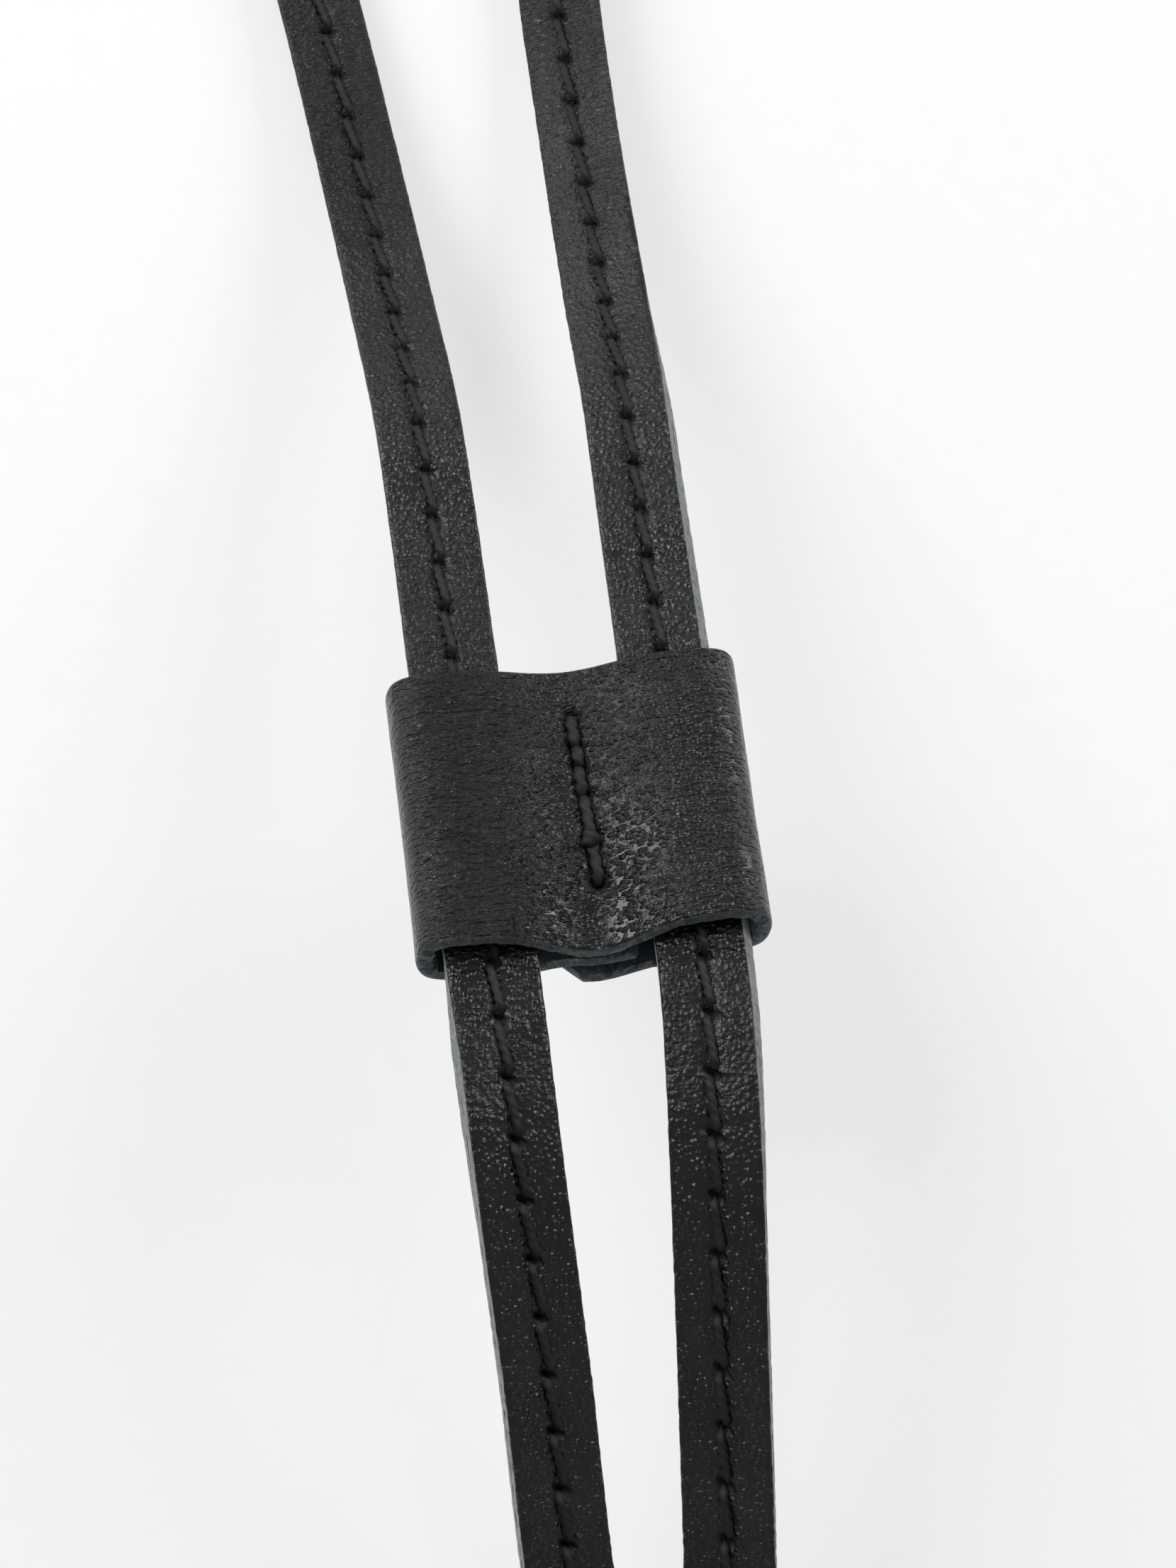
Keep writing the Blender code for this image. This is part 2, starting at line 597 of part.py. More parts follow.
def build_eye(frame):
    """The swivel eye: a loop on the ring with a headed shank inside the hook's collar."""
    turns = [2 * math.pi * k / EYE_STEPS for k in range(EYE_STEPS)]
    loop = [on_hook(frame, 0.0, EYE_RADIUS * math.sin(a), EYE_RADIUS * math.cos(a)) for a in turns]
    eye = wire_mesh("swivel_eye", loop, EYE_WIRE, NICKEL, cyclic=True)
    shank_top = -(EYE_RADIUS - SHANK_OVERLAP)
    bevel, rise = HEAD_BEVEL
    profile = [(0.0, shank_top), (SHANK, shank_top), (SHANK, -HEAD_TOP), (HEAD, -HEAD_TOP),
               (HEAD, -HEAD_BOTTOM + rise), (HEAD - bevel, -HEAD_BOTTOM), (0.0, -HEAD_BOTTOM)]
    matrix = frame @ Matrix.Translation((0.0, EYE_LIFT * MM, 0.0))
    shank = hide_as_cutter(turned("eye_shank", profile, None, matrix, 20, CUTTERS))
    combine(eye, shank, "UNION")
    return eye


def build_hook(frame):
    """The hook body: collar, ears for the gate and the bent hook in one casting."""
    matrix = frame @ Matrix.Translation((0.0, EYE_LIFT * MM, 0.0))
    outline = HOOK_NECK + [(HOOK_SIDE, 21.0)]
    outline += arc(BEND_CENTRE, BEND_RADIUS, 0, 180, 12)
    outline.append((BEND_CENTRE[0] - BEND_RADIUS, NOSE_END))
    body = wire_mesh("hook_body", [on_hook(frame, x, v) for x, v in outline], HOOK_WIRE, NICKEL)

    collar = hide_as_cutter(turned("collar", [
        (0.0, -COLLAR_TOP), (COLLAR - COLLAR_BEVEL, -COLLAR_TOP), (COLLAR, -COLLAR_TOP - COLLAR_BEVEL),
        (COLLAR, -COLLAR_BOTTOM + COLLAR_BEVEL), (COLLAR - COLLAR_BEVEL, -COLLAR_BOTTOM),
        (0.0, -COLLAR_BOTTOM)], None, matrix, 24, CUTTERS))
    ears = hide_as_cutter(box_piece("ears", (PIN_X - EAR_BACK, -EAR_OUTER, -COLLAR_BOTTOM + 0.1),
                                    (EAR_FRONT, EAR_OUTER, -COLLAR_TOP - EAR_DROP), matrix, CUTTERS))
    slot = box_cutter("slot", (PIN_X - SLOT_BACK, -EAR_INNER, -PIN_AT - SLOT_HALF),
                      (PIN_X + SLOT_DEPTH, EAR_INNER, -PIN_AT + SLOT_HALF), matrix)
    bore = cylinder_cutter("collar_bore", SHANK + GAP, -COLLAR_BOTTOM - 1.0, -COLLAR_TOP + 1.0, matrix)
    pin_hole = cylinder_cutter("pin_hole", PIN_RADIUS + PIN_CLEARANCE,
                               -EAR_OUTER - 2.0, EAR_OUTER + 2.0, pin_matrix(frame))
    combine(body, collar, "UNION")
    combine(body, ears, "UNION")
    for cutter in (slot, bore, pin_hole):
        combine(body, cutter, "DIFFERENCE")
    return body


def pin_matrix(frame):
    """Frame on the gate's pin, with Z out of the hook's plane."""
    spin = Matrix(((1, 0, 0), (0, 0, 1), (0, -1, 0))).to_4x4()
    return frame @ Matrix.Translation(Vector((PIN_X, EYE_LIFT, -PIN_AT)) * MM) @ spin


def build_gate(frame):
    """The sprung gate: a knuckle on the pin, a straight arm and a lip inside the nose."""
    matrix = pin_matrix(frame)
    nose_x = BEND_CENTRE[0] - BEND_RADIUS - PIN_X
    tip = NOSE_END - GAP - PIN_AT
    outline = arc((0.0, 0.0), KNUCKLE, -40, -220, 10)
    outline += [(nose_x - 1.2, tip - 3.0), (nose_x - 0.9, tip), (nose_x + HOOK_WIRE + GAP, tip),
                (nose_x + HOOK_WIRE + GAP, tip + 2.4), (nose_x + HOOK_WIRE + 1.2, tip + 2.2),
                (nose_x + HOOK_WIRE + 1.2, tip - 2.0), (nose_x + 1.6, tip - 4.0)]
    curve = bpy.data.curves.new("gate", "CURVE")
    curve.dimensions = "2D"
    curve.fill_mode = "BOTH"
    curve.extrude = GATE_HALF_WIDTH * MM
    spline = curve.splines.new("POLY")
    spline.points.add(len(outline) - 1)
    for spot, (x, y) in zip(spline.points, outline):
        spot.co = (x * MM, y * MM, 0.0, 1.0)
    spline.use_cyclic_u = True
    flat = add_object("gate_outline", curve, NICKEL)
    flat.matrix_world = matrix
    bpy.context.view_layer.update()
    mesh = bpy.data.meshes.new_from_object(flat.evaluated_get(bpy.context.evaluated_depsgraph_get()))
    work = bmesh.new()
    work.from_mesh(mesh)
    bmesh.ops.remove_doubles(work, verts=work.verts, dist=MERGE)
    work.to_mesh(mesh)
    work.free()
    gate = bpy.data.objects.new("gate", mesh)
    PARTS.objects.link(gate)
    gate.matrix_world = matrix
    bpy.data.objects.remove(flat, do_unlink=True)
    bore = cylinder_cutter("gate_bore", PIN_HOLE, -CUT_THROUGH, CUT_THROUGH, matrix)
    pocket = cylinder_cutter("spring_pocket", KNUCKLE + GAP, SPRING_LOW - POCKET_GAP, CUT_THROUGH, matrix)
    combine(gate, bore, "DIFFERENCE")
    combine(gate, pocket, "DIFFERENCE")
    return gate


def build_gate_pin(frame):
    head = [(radius, EAR_OUTER + past) for radius, past in PIN_HEAD]
    head.append((PIN_RADIUS, head[-1][1]))
    profile = head + [(radius, -height) for radius, height in reversed(head)]
    return turned("gate_pin", profile, SPRING_STEEL, pin_matrix(frame), 16)


def build_gate_spring(frame):
    steps = round(SPRING_TURNS * SPRING_STEPS)
    points = []
    for k in range(steps + 1):
        angle = 2 * math.pi * SPRING_TURNS * k / steps
        height = SPRING_LOW + (SPRING_HIGH - SPRING_LOW) * k / steps
        points.append(pin_matrix(frame) @ (Vector((SPRING_RADIUS * math.cos(angle),
                                                   SPRING_RADIUS * math.sin(angle), height)) * MM))
    return wire("gate_spring", points, SPRING_WIRE, SPRING_STEEL, resolution=1)


def build_hook_group():
    frame = hook_frame()
    ring_end = new_empty("eye_pivot", frame.translation, (HOOK_DROP, 0.0, 0.0))
    swivel = new_empty("hook_swivel", frame @ (Vector((0.0, EYE_LIFT, 0.0)) * MM), (HOOK_DROP, 0.0, 0.0))
    attach(build_eye(frame), ring_end)
    for piece in (build_hook(frame), build_gate_pin(frame), build_gate_spring(frame)):
        attach(piece, swivel)
    hinge = new_empty("gate_hinge", pin_matrix(frame).translation, (HOOK_DROP, 0.0, 0.0))
    attach(build_gate(frame), hinge)


# ---- build -------------------------------------------------------------------
left_rivet = build_strap("left", LEFT_ROUTE, -1)
right_rivet = build_strap("right", RIGHT_ROUTE, 1)
build_slider()
build_yoke([left_rivet, right_rivet])
build_ring()
build_hook_group()
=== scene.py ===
"""Looks of the saxophone neck strap: black pebbled leather, waxed saddle stitching,
raw cut edges and nickel hardware. Lengths are millimetres in the layout that the
CAD was drawn in, and place() turns them into the frame's metres."""
import math

import bmesh
import bpy
import numpy as np
from mathutils import Matrix, Vector


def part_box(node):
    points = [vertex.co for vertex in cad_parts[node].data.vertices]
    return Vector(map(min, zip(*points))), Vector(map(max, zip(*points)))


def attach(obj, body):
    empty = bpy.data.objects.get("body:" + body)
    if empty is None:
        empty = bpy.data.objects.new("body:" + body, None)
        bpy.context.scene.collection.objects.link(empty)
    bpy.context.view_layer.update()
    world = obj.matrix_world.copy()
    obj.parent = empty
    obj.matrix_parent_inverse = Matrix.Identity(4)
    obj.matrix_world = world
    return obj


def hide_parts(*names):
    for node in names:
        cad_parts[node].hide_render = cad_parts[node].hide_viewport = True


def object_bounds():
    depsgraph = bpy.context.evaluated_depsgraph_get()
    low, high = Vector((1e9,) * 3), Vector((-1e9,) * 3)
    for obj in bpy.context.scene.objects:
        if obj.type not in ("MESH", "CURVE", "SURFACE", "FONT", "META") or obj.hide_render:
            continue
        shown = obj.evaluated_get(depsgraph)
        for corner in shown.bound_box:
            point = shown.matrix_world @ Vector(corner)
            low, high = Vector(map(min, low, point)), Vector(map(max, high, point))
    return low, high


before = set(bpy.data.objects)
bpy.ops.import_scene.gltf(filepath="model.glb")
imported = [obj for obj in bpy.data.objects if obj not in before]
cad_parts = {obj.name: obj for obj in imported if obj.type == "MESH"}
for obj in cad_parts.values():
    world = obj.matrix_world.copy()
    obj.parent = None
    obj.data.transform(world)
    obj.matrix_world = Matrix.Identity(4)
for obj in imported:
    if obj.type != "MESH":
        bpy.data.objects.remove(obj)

CAD_LOW, CAD_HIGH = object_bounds()
MM = 0.001

# ---- sizes shared with the CAD -------------------------------------------------
YOKE_X = -6.5
YOKE_TOP_Y = 350.0
ORIGIN = np.array([YOKE_X, YOKE_TOP_Y - CAD_HIGH.y / MM, 0.0])

STRAP_WIDTH = 9.8
STRAP_HALF_DEPTH = 1.5
LEFT_ROUTE = [(-39.1, 196.0, 6.2, 0), (-34.4, 182.0, 6.2, 0), (-27.5, 160.0, 5.0, 0),
              (-22.6, 138.0, 3.2, 0), (-18.8, 115.0, 3.0, 0), (-16.0, 92.0, 5.6, -2),
              (-13.6, 67.0, 13.0, -2), (-12.5, 52.0, 20.1, 0), (-12.0, 38.0, 23.5, 0),
              (-11.7, 20.0, 28.0, 1), (-11.4, 0.0, 33.0, 2), (-11.2, -20.0, 38.0, 5),
              (-11.1, -30.0, 38.6, 13), (-10.8, -41.0, 36.2, 18), (-10.0, -60.0, 28.0, 20),
              (-9.4, -80.0, 18.8, 18), (-7.4, -92.0, 13.2, 8), (-6.2, -101.0, 9.6, 2),
              (-5.8, -107.5, 8.2, 0), (-5.8, -114.0, 6.8, 0)]
RIGHT_ROUTE = [(26.1, 196.0, 6.2, 0), (21.4, 182.0, 6.2, 0), (16.2, 160.0, 5.0, 4),
               (12.6, 138.0, 3.4, 12), (11.1, 115.0, 4.0, 20), (11.3, 92.0, 6.6, 24),
               (11.5, 67.0, 13.4, 18), (11.6, 52.0, 20.1, 9), (11.5, 38.0, 23.5, 6),
               (11.4, 20.0, 28.0, 5), (11.2, 0.0, 33.0, 5), (11.0, -20.0, 38.0, 5),
               (10.6, -30.0, 38.6, 11), (10.0, -41.0, 36.2, 16), (9.0, -60.0, 28.0, 20),
               (7.9, -80.0, 18.8, 18), (6.8, -92.0, 13.2, 8), (6.1, -101.0, 9.6, 2),
               (5.8, -107.5, 8.2, 0), (5.8, -114.0, 6.8, 0)]
BAR_LEAD = 8.0                # from a route's last point to the ring's bar
BAR_BELOW = 0.825             # the bar's centre below the strap's middle
LOOP_RADIUS = 1.8             # flesh side of the leather loop round the bar

SLIDER_CENTRE = (-0.15, 0.0, 33.0)
SLIDER_TILT = math.radians(14.0)
SLIDER_LENGTH = 33.0
SLIDER_LEATHER = 1.8
SEAM_FRONT, SEAM_BACK = 1.6, -2.6     # middle of the leather at the seam
SLIDER_SECTION = [(4.5, -1.0), (2.2, -0.6), (0.0, -0.5), (-2.5, -0.7), (-4.6, -1.7), (-7.0, -3.3),
                  (-9.5, -4.0), (-12.5, -4.1), (-15.6, -3.9), (-17.5, -2.8), (-18.1, 0.0),
                  (-17.5, 2.8), (-15.6, 3.9), (-12.5, 4.0), (-9.5, 3.8), (-6.5, 3.0),
                  (-3.2, 2.0), (0.0, SEAM_FRONT), (3.2, 2.0), (6.5, 3.0), (9.5, 3.8),
                  (12.5, 4.0), (15.6, 3.9), (17.5, 2.8), (18.1, 0.0), (17.5, -2.8),
                  (15.6, -3.9), (12.5, -4.2), (9.5, -4.2), (6.5, -3.9), (3.2, -3.1),
                  (0.0, SEAM_BACK), (-2.3, -2.7), (-4.6, -3.1)]
SEAM_TOP, SEAM_BOTTOM = 10.8, -9.6

YOKE_HALF_ROUTE = [(28.2, 183.0), (34.2, 200.0), (42.6, 222.0), (50.5, 250.0),
                   (52.0, 278.0), (43.5, 304.0), (24.5, 323.0), (0.0, 330.0)]
YOKE_HALF_WIDTHS = [9.0, 9.0, 12.8, 17.0, 19.0, 19.8, 20.0, 20.0]
YOKE_CROWNS = [1.6, 1.6, 3.4, 5.6, 6.0, 6.0, 6.0, 6.0]
YOKE_LEATHER = 1.2
RIM = 2.6

# ---- stitching -----------------------------------------------------------------
STRAP_PITCH = 6.25
STRAP_THREAD = 0.46           # thread radius
CREASED_RUN = (0.0, 105.0, 150.0, 400.0)      # the upper straps are creased, the rest pebbled
CREASE_SHARE = (1.0, 0.9, 0.15, 0.15)
SLIT_TURN = math.radians(38.0)        # slits lie across the strap at a slant


def place(points):
    """Layout millimetres to the frame's metres."""
    return (np.asarray(points, float) - ORIGIN) * MM


# ---- paths ---------------------------------------------------------------------
def catmull(points, steps):
    """A smooth curve through the points; extra columns ride along."""
    p = np.asarray(points, float)
    p = np.vstack([2 * p[0] - p[1], p, 2 * p[-1] - p[-2]])
    t = np.linspace(0.0, 1.0, steps, endpoint=False)[:, None]
    spans = [0.5 * (2 * b + (c - a) * t + (2 * a - 5 * b + 4 * c - d) * t ** 2
                    + (3 * b - a - 3 * c + d) * t ** 3)
             for a, b, c, d in zip(p[:-3], p[1:-2], p[2:-1], p[3:])]
    return np.vstack(spans + [p[-2:-1]])


def lengths(points):
    """Distance along a path at each of its points."""
    steps = np.linalg.norm(np.diff(points, axis=0), axis=1)
    return np.concatenate([[0.0], np.cumsum(steps)])


def along(points, distances, wanted):
    """Points of a path at the wanted distances."""
    return np.stack([np.interp(wanted, distances, column) for column in points.T], 1)


def unit(vectors):
    return vectors / np.linalg.norm(vectors, axis=-1, keepdims=True)


def noise_1d(wanted, step, seed):
    """Smooth noise between -1 and 1 with a bump about every step."""
    rng = np.random.default_rng(seed)
    grid = np.arange(wanted.min() - 2 * step, wanted.max() + 3 * step, step)
    values = rng.uniform(-1.0, 1.0, len(grid))
    position = (wanted - grid[0]) / step
    cell = np.clip(position.astype(int), 0, len(grid) - 2)
    share = ease(position - cell)
    return values[cell] * (1 - share) + values[cell + 1] * share


def noise_2d(u, v, step_u, step_v, seed):
    """Smooth noise between -1 and 1 over a surface."""
    rng = np.random.default_rng(seed)
    cells_u = int((u.max() - u.min()) / step_u) + 4
    cells_v = int((v.max() - v.min()) / step_v) + 4
    values = rng.uniform(-1.0, 1.0, (cells_u, cells_v))
    pu, pv = (u - u.min()) / step_u, (v - v.min()) / step_v
    iu, iv = pu.astype(int), pv.astype(int)
    su, sv = ease(pu - iu), ease(pv - iv)
    low = values[iu, iv] * (1 - su) + values[iu + 1, iv] * su
    high = values[iu, iv + 1] * (1 - su) + values[iu + 1, iv + 1] * su
    return low * (1 - sv) + high * sv


def hump(distance, spread):
    """A smooth bump of height one, as wide as its spread."""
    return np.exp(-(distance / spread) ** 2)


def ease(share):
    """A share from 0 to 1 that starts and ends gently."""
    return share * share * (3 - 2 * share)


# ---- mesh helpers ----------------------------------------------------------------
def make_object(name, verts, faces, materials, slots=None, coordinates=None, sharp=50.0,
                crease=None):
    """A piece from arrays, with its leather or thread coordinates in millimetres and
    how creased it is at each point."""
    mesh = bpy.data.meshes.new(name)
    mesh.from_pydata([tuple(v) for v in verts], [], [tuple(f) for f in faces])
    for material in materials:
        mesh.materials.append(material)
    if slots is not None:
        mesh.polygons.foreach_set("material_index", np.asarray(slots, np.int32))
    if coordinates is not None:
        layer = mesh.attributes.new("grain", "FLOAT_VECTOR", "POINT")
        layer.data.foreach_set("vector", np.asarray(coordinates, np.float32).ravel())
    if crease is not None:
        layer = mesh.attributes.new("crease", "FLOAT", "POINT")
        layer.data.foreach_set("value", np.asarray(crease, np.float32).ravel())
    work = bmesh.new()
    work.from_mesh(mesh)
    bmesh.ops.recalc_face_normals(work, faces=work.faces)
    work.to_mesh(mesh)
    work.free()
    mesh.shade_smooth()
    mesh.set_sharp_from_angle(angle=math.radians(sharp))
    made = bpy.data.objects.new(name, mesh)
    bpy.context.scene.collection.objects.link(made)
    return made


def stand_for(piece, body, node):
    """Let a piece ride on its body in place of a CAD node."""
    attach(piece, body)
    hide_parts(node)


def ring_faces(rows, columns, closed_rows=False, offset=0):
    """Quads over a grid of rows of points, each row a closed ring."""
    i = np.arange(rows if closed_rows else rows - 1)[:, None]
    j = np.arange(columns)[None, :]
    i2, j2 = (i + 1) % rows, (j + 1) % columns
    quads = np.stack([i * columns + j, i * columns + j2, i2 * columns + j2, i2 * columns + j], -1)
    return (quads + offset).reshape(-1, 4)


def closed_faces(rows, columns, offset=0):
    """The same quads with a face over each end."""
    first = [offset + k for k in range(columns)]
    last = [offset + (rows - 1) * columns + k for k in reversed(range(columns))]
    return ring_faces(rows, columns, offset=offset).tolist() + [first, last]


STRAND_LOBES, LOBE_DEPTH = 2, 0.2     # a strand's section, as a share of its radius
STRAND_ROUND = 2.4            # grain coordinates once round a strand
STRAND_SHIFT = 7.3            # and from one strand to the next


def tubes(lines, radius, sides=10, twist=2.6, taper=0.0):
    """Closed twisted strands along several centre lines, as one set of arrays."""
    verts, faces, coordinates = [], [], []
    offset = 0
    for number, line in enumerate(lines):
        line = np.asarray(line, float)
        tangent = unit(np.gradient(line, axis=0))
        up = np.array([0.0, 0.0, 1.0]) if abs(tangent[0][2]) < 0.9 else np.array([0.0, 1.0, 0.0])
        side = unit(np.cross(tangent, up))
        top = np.cross(side, tangent)
        run = lengths(line)
        angle = np.linspace(0, 2 * np.pi, sides, endpoint=False)
        turn = 2 * np.pi * run / twist
        reach = radius * (1 + LOBE_DEPTH * np.cos(STRAND_LOBES * (angle[None, :] - turn[:, None])))
        if taper:
            ends = np.minimum(run, run[-1] - run) / taper
            reach = reach * np.clip(ends + 0.25, 0.0, 1.0)[:, None]
        ring = (line[:, None] + side[:, None] * (reach * np.cos(angle))[..., None]
                + top[:, None] * (reach * np.sin(angle))[..., None])
        verts.append(ring.reshape(-1, 3))
        rows = len(line)
        faces += closed_faces(rows, sides, offset)
        around = np.broadcast_to(angle / (2 * np.pi) * STRAND_ROUND, (rows, sides))
        down = np.broadcast_to(run[:, None] + number * STRAND_SHIFT, (rows, sides))
        coordinates.append(np.stack([around, down, np.zeros((rows, sides))], -1).reshape(-1, 3))
        offset += rows * sides
    return np.vstack(verts), faces, np.vstack(coordinates)


# ---- materials -------------------------------------------------------------------
class Nodes:
    """A material's node tree with short calls to add to it."""

    def __init__(self, name):
        self.material = bpy.data.materials.new(name)
        self.material.use_nodes = True
        self.tree = self.material.node_tree
        self.shader = self.tree.nodes["Principled BSDF"]

    def add(self, kind, settings=None, **inputs):
        node = self.tree.nodes.new("ShaderNode" + kind)
        for key, value in (settings or {}).items():
            setattr(node, key, value)
        for key, value in inputs.items():
            self.put(node, key.replace("_", " "), value)
        return node

    def put(self, node, key, value):
        socket = node.inputs[key] if not key.isdigit() else node.inputs[int(key)]
        if isinstance(value, bpy.types.NodeSocket):
            self.tree.links.new(value, socket)
        else:
            socket.default_value = value

    def surface(self, **inputs):
        for key, value in inputs.items():
            self.put(self.shader, key.replace("_", " "), value)

    def grain(self, scale=(1.0, 1.0, 1.0)):
        source = self.add("Attribute", {"attribute_name": "grain"})
        mapped = self.add("Mapping", Vector=source.outputs["Vector"], Scale=scale)
        return mapped.outputs["Vector"]

    def noise(self, vector, scale, detail=3.0, roughness=0.55):
        node = self.add("TexNoise", Vector=vector, Scale=scale, Detail=detail, Roughness=roughness)
        return node.outputs["Fac"]

    def remap(self, value, low, high, to_low=0.0, to_high=1.0):
        node = self.add("MapRange", Value=value, From_Min=low, From_Max=high,
                        To_Min=to_low, To_Max=to_high)
        return node.outputs["Result"]

    def maths(self, operation, first, second):
        node = self.add("Math", {"operation": operation})
        self.put(node, "0", first)
        self.put(node, "1", second)
        return node.outputs["Value"]

    def blend(self, share, first, second):
        node = self.add("Mix", {"data_type": "RGBA"})
        self.put(node, "0", share)
        self.put(node, "6", first)
        self.put(node, "7", second)
        return node.outputs[2]

    def bump(self, height, distance, strength=1.0, below=None):
        node = self.add("Bump", Height=height, Distance=distance, Strength=strength)
        if below is not None:
            self.put(node, "Normal", below)
        return node.outputs["Normal"]


def tint(tone, share=1.0):
    return (*[c * share for c in tone], 1.0)


# Painted shade: the leather's sunk holes, slits and grooves are darkened towards this near black.
HOLE_SHADE_BLACK = (0.0012, 0.0010, 0.0010)
FINE_GRAIN = 0.010            # depth of the finest grain


def leather(name, pebble, pebble_depth, crease, crease_depth, tone, gloss, stretch=(1.0, 1.0, 1.0)):
    """Dyed grain leather: pebbles, fine creases across it and a waxy uneven shine, with painted shade in
    its sunk holes and grooves and a painted highlight on its pebble tops.
    """
    n = Nodes(name)
    plain = n.grain()
    stretched = n.grain(stretch)
    bend = n.add("TexNoise", Vector=plain, Scale=0.9 / pebble, Detail=2.0).outputs["Color"]
    bent = n.add("VectorMath", {"operation": "MULTIPLY_ADD"})
    n.put(bent, "0", bend)
    n.put(bent, "1", (pebble * 0.6,) * 3)
    n.put(bent, "2", stretched)
    cells = n.add("TexVoronoi", {"feature": "SMOOTH_F1"}, Vector=bent.outputs["Vector"],
                  Scale=1.0 / pebble, Smoothness=0.35)
    pebbles = n.remap(cells.outputs["Distance"], 0.12, 0.62, 1.0, 0.0)
    swell = n.noise(plain, 0.55, 3.0)
    pebbles = n.maths("MULTIPLY", pebbles, n.remap(swell, 0.32, 0.62, 0.35, 1.0))
    creased = n.add("Attribute", {"attribute_name": "crease"}).outputs["Fac"]
    pebbles = n.maths("MULTIPLY", pebbles, n.remap(creased, 0.0, 1.0, 1.0, 0.45))
    lines = n.noise(n.grain((0.34 / crease, 1.0 / crease, 1.0 / crease)), 1.0, 4.0, 0.6)
    folds = n.maths("MULTIPLY", n.remap(lines, 0.36, 0.64), creased)
    patches = n.noise(plain, 0.16, 3.0)
    fine = n.noise(plain, 8.0, 2.0)
    normal = n.bump(folds, crease_depth * MM)
    normal = n.bump(pebbles, pebble_depth * MM, 1.0, normal)
    normal = n.bump(fine, FINE_GRAIN * MM, 0.8, normal)
    colour = n.blend(n.remap(patches, 0.3, 0.7), tint(tone, 0.65), tint(tone, 1.35))
    # Painted highlight: the pebble tops are lightened towards a paler tone.
    colour = n.blend(n.maths("MULTIPLY", pebbles, 0.4), colour, tint(tone, 1.7))
    # Painted shade: where the relief is sunk, in holes, slits and grooves, the colour goes to near black.
    sunk_shade = n.remap(n.add("SeparateXYZ", Vector=plain).outputs["Z"], -0.42, -0.14, 1.0, 0.0)
    colour = n.blend(sunk_shade, colour, tint(HOLE_SHADE_BLACK))
    rough = n.remap(n.maths("ADD", n.maths("MULTIPLY", patches, 0.6), n.maths("MULTIPLY", fine, 0.4)),
                    0.3, 0.7, gloss - 0.06, gloss + 0.12)
    rough = n.maths("ADD", rough, n.maths("MULTIPLY", sunk_shade, 0.4))
    n.surface(Base_Color=colour, Roughness=rough, Normal=normal, Specular_IOR_Level=0.42)
    return n.material


def raw_leather(name, tone, light, fibre=0.25, depth=0.09):
    """Cut or flesh side: matt fibres with lighter flecks, and painted shade darkening its pits."""
    n = Nodes(name)
    fibres = n.noise(n.grain((1.0, 0.45, 1.0)), 1.0 / fibre, 5.0, 0.7)
    where = n.add("TexCoord").outputs["Object"]
    matted = n.noise(where, 2600.0, 4.0, 0.7)
    fibres = n.maths("ADD", n.maths("MULTIPLY", fibres, 0.5), n.maths("MULTIPLY", matted, 0.5))
    clumps = n.noise(where, 900.0, 3.0)
    colour = n.blend(n.remap(fibres, 0.36, 0.66), tint(tone), tint(light))
    # Painted shade: the low spots of the clumps, the pits, are darkened.
    pit_shade = n.remap(clumps, 0.30, 0.46, 0.75, 0.0)
    colour = n.blend(pit_shade, colour, tint(tone, 0.35))
    normal = n.bump(clumps, depth * 1.5 * MM)
    normal = n.bump(fibres, depth * MM, 1.0, normal)
    n.surface(Base_Color=colour, Roughness=0.86, Normal=normal, Specular_IOR_Level=0.25,
              Sheen_Weight=0.25, Sheen_Roughness=0.5)
    return n.material


def thread_material(name, tone, light):
    """Waxed thread: fine lengthwise fibres and brown worn tops."""
    n = Nodes(name)
    fibres = n.noise(n.grain((3.0, 0.6, 1.0)), 3.2, 4.0, 0.65)
    worn = n.noise(n.grain(), 0.55, 3.0)
    colour = n.blend(n.remap(fibres, 0.3, 0.7), tint(tone), tint(light))
    colour = n.blend(n.remap(worn, 0.45, 0.7, 0.0, 0.6), colour, tint(light, 1.7))
    normal = n.bump(fibres, 0.14 * MM)
    normal = n.bump(n.noise(n.grain(), 4.0, 3.0), 0.06 * MM, 1.0, normal)
    n.surface(Base_Color=colour, Roughness=0.55, Normal=normal, Specular_IOR_Level=0.35)
    return n.material


def metal_material(name, tone, rough):
    """Plated metal with faint wear scratches and a little tarnish."""
    n = Nodes(name)
    where = n.add("TexCoord").outputs["Object"]
    drawn_out = n.add("Mapping", Vector=where, Scale=(60.0, 900.0, 900.0)).outputs["Vector"]
    scratches = n.noise(drawn_out, 4.0, 4.0, 0.7)
    tarnish = n.noise(where, 140.0, 4.0)
    colour = n.blend(n.remap(tarnish, 0.45, 0.75), tint(tone), tint(tone, 0.72))
    shine = n.remap(n.maths("ADD", scratches, tarnish), 0.8, 1.25, rough, rough + 0.16)
    normal = n.bump(scratches, 0.01 * MM, 0.5)
    n.surface(Base_Color=colour, Roughness=shine, Metallic=1.0, Normal=normal)
    return n.material


STRAP_LEATHER = leather("strap_leather", 0.62, 0.18, 0.70, 0.24, (0.0056, 0.0052, 0.0051), 0.26)
SLIDER_SKIN = leather("slider_leather", 0.50, 0.30, 0.74, 0.95, (0.0052, 0.0046, 0.0046), 0.21,
                      stretch=(0.72, 1.2, 1.0))
YOKE_SKIN = leather("yoke_leather", 0.80, 0.13, 1.2, 0.12, (0.0100, 0.0095, 0.0092), 0.33)
STRAP_CUT = raw_leather("strap_cut_edge", (0.075, 0.088, 0.084), (0.24, 0.265, 0.25))
SLIDER_CUT = raw_leather("slider_cut_edge", (0.016, 0.024, 0.027), (0.085, 0.105, 0.112), 0.3, 0.15)
LINING = raw_leather("lining_suede", (0.020, 0.019, 0.018), (0.055, 0.051, 0.048), 0.35, 0.06)
